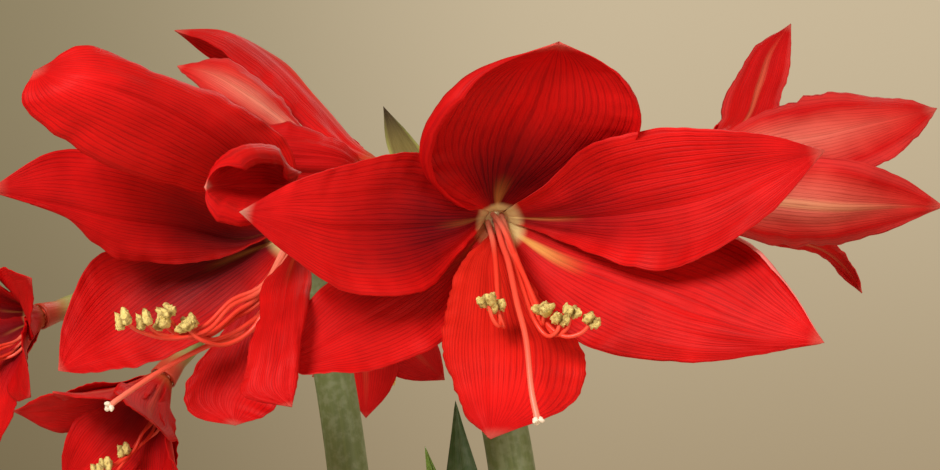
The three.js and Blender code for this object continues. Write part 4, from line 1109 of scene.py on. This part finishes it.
# %% Bracts
bracts = {
    "front_scape_tall_bract": (front_umbel, {
        "left": [(-10, 3, -4), (-21, 12, 22), (-31, 15, 42), (-39, 15, 58)],
        "rib": [(-5.8, 8.6, -4), (-14, 14, 22), (-23, 16, 40), (-32, 15, 58)],
        "right": [(0, 10.5, -4), (-7, 16, 22), (-15, 17, 40), (-25, 15, 58)], "tip": (-41, 14, 76)}),
    "front_scape_short_bract": (front_umbel, {
        "left": [(9.9, 4.6, -4), (22, 4, 12), (32, 2, 24), (40, -2, 34)],
        "rib": [(10.8, -1.4, -4), (23, -4, 11), (34, -5, 23), (42, -6, 33)],
        "right": [(9, -7.5, -4), (20, -11, 11), (31, -12, 22), (40, -10, 32)], "tip": (50, -8, 42)}),
    "rear_scape_left_bract": (rear_umbel, {
        "left": [(-9, 5.4, -4), (-17, 13, 10), (-22, 19, 24), (-22, 25, 36)],
        "rib": [(-4.1, 9.6, -4), (-9, 19, 10), (-13, 26, 24), (-16, 30, 36)],
        "right": [(2.4, 10.2, -4), (0, 20, 10), (-4, 27, 24), (-9, 31, 36)], "tip": (-18, 35, 47)}),
    "rear_scape_right_bract": (rear_umbel, {
        "left": [(6, 10, -4), (11, 15, 10), (17, 17, 22), (22, 16, 32)],
        "rib": [(11, 4, -4), (18, 7, 10), (25, 9, 22), (29, 10, 32)],
        "right": [(11, -3.5, -4), (19, -2, 10), (26, 0, 22), (30, 3, 32)], "tip": (35, 10, 40)}),
}
BRACT_FINE, BRACT_THICKNESS = 0.45, 0.8 * MM
for name, (top, bract) in bracts.items():
    seed += 1
    lines = [smooth_line([*map(mm, bract[side]), mm(bract["tip"])]) for side in ("left", "rib", "right")]
    shape = new_shape()

    def place(along, across):
        return mm(top) + petal_point(lines, bract, along, across, BRACT_FINE, seed)

    blade(shape, 40, 20, place)
    thicken(keep(shape, name, "bract", [dry_skin]), BRACT_THICKNESS)
print("bracts:", len(bracts))

# %% [markdown]
# ## Leaves
# The leaves are straps that come out of the bulb's neck one inside the other. Each follows one line, with its
# width chosen along it, a shallow channel down the middle, and flesh that thins towards the tip.

# %% Leaves
LEAF_THICKNESS = 3.2 * MM
leaves = {  # points, half widths along them, and the way the channel faces
    "tall_leaf": ([(-1, -8, SCAPE_FOOT), (-4, -20, 240), (-8, -28, 320), (-10, -32, 400), (-11, -32, 470),
                   (-16, -30, 532)], [10.5, 14, 17, 17, 12.5, 0], (0, 1, 0)),
    "young_leaf": ([(0, 0, SCAPE_FOOT), (-2, -1, 240), (-6, -4, 320), (-11, -7, 400), (-18, -9, 465),
                    (-29, -10, 511)], [10, 12, 13, 12, 8, 0], (0, 1, 0)),
    "front_left_leaf": ([(-2, -16, SCAPE_FOOT), (-8, -36, 250), (-24, -77, 330), (-52, -128, 370),
                         (-84, -176, 350), (-110, -208, 300)], [10.5, 18, 20.5, 19, 13, 0], (0.3, 1, 0)),
    "back_right_leaf": ([(2, 16, SCAPE_FOOT), (8, 34, 250), (26, 76, 330), (56, 128, 366), (92, 176, 344),
                         (118, 206, 300)], [10.5, 18, 20.5, 19, 13, 0], (-0.3, -1, 0)),
    "back_leaf": ([(0, 8, SCAPE_FOOT), (2, 16, 250), (6, 32, 340), (8, 58, 410), (4, 92, 448),
                   (-4, 132, 456)], [10.5, 16, 19, 19, 14, 0], (0, -1, 0)),
}
for name, (points, half_widths, faces) in leaves.items():
    seed += 1
    line = smooth_line([mm(point) for point in points])
    width_line = smooth_line([Vector((width * MM, 0, 0)) for width in half_widths])

    def place(along, across):
        forward = heading(line, along)
        right = Vector((0, 0, 1)).cross(Vector(faces))
        right = (right - forward * right.dot(forward)).normalized()
        half = max(width_line(along).x, 0)
        lift = 0.18 * half * (across * across - 0.5)
        uneven = 0.5 * noise.noise(Vector((along * 6, across * 2, seed))) + 0.12 * math.cos(across * 40)
        lift += uneven * min(MM, half / 6)
        return line(along) + right * across * half + right.cross(forward) * lift

    shape, young = new_shape(), name == "young_leaf"
    made = blade(shape, 90, 28, place)
    weights = weights_of(shape, made, lambda along, from_rib: (1 - from_rib**2.5) * (1 - 0.5 * along) + 0.05)
    by_index = numbered(shape, weights)
    piece = keep(shape, name, "young_leaf" if young else "leaf", [young_green if young else leaf_green])
    thicken(piece, LEAF_THICKNESS, by_index)
print("leaves:", len(leaves))

# %% [markdown]
# ## Bulb
# The bulb sits with its upper half above the soil. Its skin is dry and papery, brown, with long streaks, and
# it peels in torn layers round the neck. A turned outline gives the body, and torn collars are laid over it.

# %% Tunic finish
skin = Finish("bulb skin", 0.6, 0.3)
along, across, _ = skin.growth()
streak = skin.streaks(4.0, 0.6, X=(along, 6.0), Y=(across, 90.0))
skin.start(streak, (0.075, 0.030, 0.012), (0.36, 0.19, 0.085))
skin.paint(skin.step(skin.grain(30.0, 4.0), 0.45, 0.75), (0.42, 0.27, 0.14))
skin.paint(skin.times(skin.step(along, 0.80, 0.97), 0.8), (0.34, 0.36, 0.16))
tunic = skin.done(streak, 0.0012, 0.8)

# %% Bulb
def in_metres(name):
    low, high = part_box(name)
    return Vector(low), Vector(high)


bulb_outline = [(0, 80), (22, 80), (40, 94), (50, 110), (53, 128), (50, 146), (44, 160), (39, 170), (37, 178),
                (30, 177), (0, 176)]
bulb_line = smooth_line([mm((radius, 0, height)) for radius, height in bulb_outline])
collars = [(0.44, 0.80, 0.35), (0.52, 0.74, 0.75), (0.58, 0.84, 0.6)]  # from, to, and how far out
COLLAR_THICKNESS = 0.25 * MM


def bulb_point(along, across, out=0.0):
    spot, angle = bulb_line(along), across * math.pi
    ridge = 0.5 * noise.noise(round_z(angle, 6, along * 2.0))
    ridge += 0.3 * math.cos(angle * 23 + 2 * math.sin(angle * 3)) * min(1, spot.x / (30 * MM))
    radius = max(0, spot.x + (ridge * min(1, spot.x / (20 * MM)) + out) * MM)
    return round_z(angle, radius, spot.z)


shape = new_shape()
blade(shape, 70, 160, bulb_point)
bmesh.ops.recalc_face_normals(shape, faces=shape.faces[:])
for ring, (low, top, out) in enumerate(collars):
    def torn(along, across):
        tear = 0.07 * noise.noise(round_z(across * math.pi, 5, ring * 4.0))
        return bulb_point(low + (top + tear - low) * along, across, out + 0.9 * max(0, along - 0.75) * 3)

    outer = blade(shape, 16, 120, torn)
    faces = {face for vert in outer for face in vert.link_faces}
    bmesh.ops.solidify(shape, geom=list(faces), thickness=COLLAR_THICKNESS)
keep(shape, "bulb", "tunic", [tunic])
print("bulb box:", [round(v, 4) for v in in_metres("bulb")[1]])

# %% [markdown]
# ## Potting soil
# Soil is never flat: it is a low mound of fine dark peat with crumbs, bits of bark and a few light grains.
# The body is turned, its top is roughened, and some hundreds of very simple crumbs are scattered on it.

# %% Soil finish
skin = Finish("peat", 0.95, 0.2)
crumb = skin.grain(260.0, 6.0, 0.75)
skin.start(crumb, (0.008, 0.005, 0.003), (0.085, 0.052, 0.030))
skin.paint(skin.times(skin.grain(40.0, 3.0), 0.4), (0.05, 0.035, 0.022))
skin.paint(skin.map_parts("grain")[0], (0.50, 0.42, 0.32))
peat = skin.done(crumb, 0.003, 1.0)

# %% Soil
POT_FOOT, POT_TOP, POT_HEIGHT, POT_WALL, POT_FLOOR = 56, 80, 150, 7, 9
SOIL_TOP, CRUMBS, CRUMB_RING = 126, 620, (54.5, 68.5)


def pot_outside(height):
    return POT_FOOT + (POT_TOP - POT_FOOT) * height / POT_HEIGHT


def pot_inside(height):
    return pot_outside(height) - POT_WALL


soil_outline = [(0, POT_FLOOR + 0.3), (pot_inside(POT_FLOOR) - 0.3, POT_FLOOR + 0.3),
                (pot_inside(SOIL_TOP) - 0.6, SOIL_TOP - 1), (pot_inside(SOIL_TOP) - 1.2, SOIL_TOP - 0.4),
                (57, SOIL_TOP + 2.4), (50, SOIL_TOP + 2.2)]


def soil_point(along, across):
    """The body follows its outline, and only its top, from the fourth point on, is uneven."""
    angle, place = across * math.pi, along * (len(soil_outline) - 1)
    k = min(int(place), len(soil_outline) - 2)
    (r0, h0), (r1, h1) = soil_outline[k : k + 2]
    radius, height = r0 + (r1 - r0) * (place - k), h0 + (h1 - h0) * (place - k)
    if k >= 3:
        spot = round_z(angle, radius)
        height += 0.9 * noise.noise(spot * 0.12) + 0.8 * noise.noise(spot * 0.45) - 0.6
    return round_z(angle, radius, height) * MM


rng, shape = random.Random(7), new_shape("grain")
grain = shape.loops.layers.uv["grain"]
blade(shape, 60, 160, soil_point)
bmesh.ops.recalc_face_normals(shape, faces=shape.faces[:])
for _ in range(CRUMBS):
    angle, radius = rng.uniform(0, 2 * math.pi), rng.uniform(*CRUMB_RING)
    size = rng.choice([0.7, 0.9, 1.2, 1.8, 2.4]) * rng.uniform(0.7, 1.2)
    height = SOIL_TOP + 1.2 + 0.5 * size * rng.random()
    place = Matrix.Translation(round_z(angle, radius, height) * MM)
    turn = Matrix.Rotation(rng.uniform(0, 6.3), 4, Vector((rng.random(), rng.random(), 1)).normalized())
    depth, thickness = size * rng.uniform(0.5, 1.0) * MM, size * rng.uniform(0.35, 0.8) * MM
    matrix = place @ turn @ Matrix.Diagonal((size * MM, depth, thickness, 1))
    made = bmesh.ops.create_icosphere(shape, subdivisions=1, radius=1, matrix=matrix)["verts"]
    light = 1.0 if rng.random() < 0.05 else 0.25 * rng.random() ** 3
    for vert in made:
        for loop in vert.link_loops:
            loop[grain].uv = (light, 0)
keep(shape, "potting_soil", "soil", [peat])
print("crumbs on the soil:", CRUMBS)

# %% [markdown]
# ## Pot
# The pot is plain unglazed clay, turned on a wheel: a tapered wall, a thicker collar, and a floor with three
# drain holes. Its wall is one turned outline, and the floor is filled between the foot ring and the holes.

# %% Clay finish
skin = Finish("terracotta", 0.86, 0.25)
x, y, z = skin.split(skin.here)
patch, sand = skin.grain(14.0, 5.0, 0.6), skin.grain(900.0, 3.0)
turning = skin.streaks(2.0, X=(x, 3.0), Y=(y, 3.0), Z=(z, 420.0))
skin.start(patch, (0.36, 0.115, 0.048), (0.56, 0.23, 0.11))
skin.paint(skin.times(sand, 0.3), (0.30, 0.10, 0.05))
lime = skin.times(skin.step(skin.grain(42.0, 5.0, 0.7), 0.52, 0.72), skin.step(z, 0.150, 0.02))
skin.paint(skin.times(lime, 0.55), (0.72, 0.62, 0.52))
# darker towards the foot of the pot, in patches
foot_darkening = skin.times(skin.step(z, 0.035, 0.0), patch)
skin.paint(skin.times(foot_darkening, 0.8), (0.20, 0.075, 0.035))
clay = skin.done(skin.plus(skin.times(turning, 0.8), skin.times(sand, 0.4)), 0.0007, 0.7)

# %% Pot wall by turning
COLLAR_FOOT, HOLE_CIRCLE, HOLE_RADIUS = 118, 30, 6
wall_radius = pot_outside(COLLAR_FOOT)
pot_outline = [(POT_FOOT, 0), (wall_radius, COLLAR_FOOT), (wall_radius + 4, COLLAR_FOOT + 3), (84, 147),
               (82, POT_HEIGHT), (75, POT_HEIGHT), (73, 148), (pot_inside(POT_FLOOR), POT_FLOOR)]
shape = new_shape()
verts = [shape.verts.new(mm((radius, 0, height))) for radius, height in pot_outline]
edges = [shape.edges.new(pair) for pair in zip(verts, verts[1:])]
bmesh.ops.spin(shape, geom=verts + edges, cent=(0, 0, 0), axis=(0, 0, 1), angle=2 * math.pi, steps=112,
               use_merge=True)
print("pot wall faces:", len(shape.faces))

# %% Pot floor with its drain holes
hole_centres = [round_z(k * 2 * math.pi / 3, HOLE_CIRCLE) * MM for k in range(3)]
for level in (0, POT_FLOOR * MM):
    ring = [edge for edge in shape.edges if all(abs(vert.co.z - level) < 1e-6 for vert in edge.verts)]
    holes = []
    for centre in hole_centres:
        place = Matrix.Translation(centre + Vector((0, 0, ring[0].verts[0].co.z)))
        circle = bmesh.ops.create_circle(shape, segments=28, radius=HOLE_RADIUS * MM, matrix=place)["verts"]
        holes += list({edge for vert in circle for edge in vert.link_edges})
    bmesh.ops.triangle_fill(shape, edges=ring + holes, use_beauty=True, use_dissolve=False)
open_edges = [edge for edge in shape.edges if edge.is_boundary]
for centre in hole_centres:
    near = (HOLE_RADIUS + 1) * MM
    pair = [edge for edge in open_edges if (edge.verts[0].co.xy - centre.xy).length < near]
    bmesh.ops.bridge_loops(shape, edges=pair)
bmesh.ops.remove_doubles(shape, verts=shape.verts[:], dist=1e-6)
bmesh.ops.recalc_face_normals(shape, faces=shape.faces[:])
print("pot is closed:", all(edge.is_manifold for edge in shape.edges))
piece = keep(shape, "pot", "terracotta", [clay])
rounding = piece.modifiers.new("soft arrises", "BEVEL")
rounding.width, rounding.segments, rounding.limit_method = 1.3 * MM, 3, "ANGLE"
rounding.angle_limit = math.radians(22)
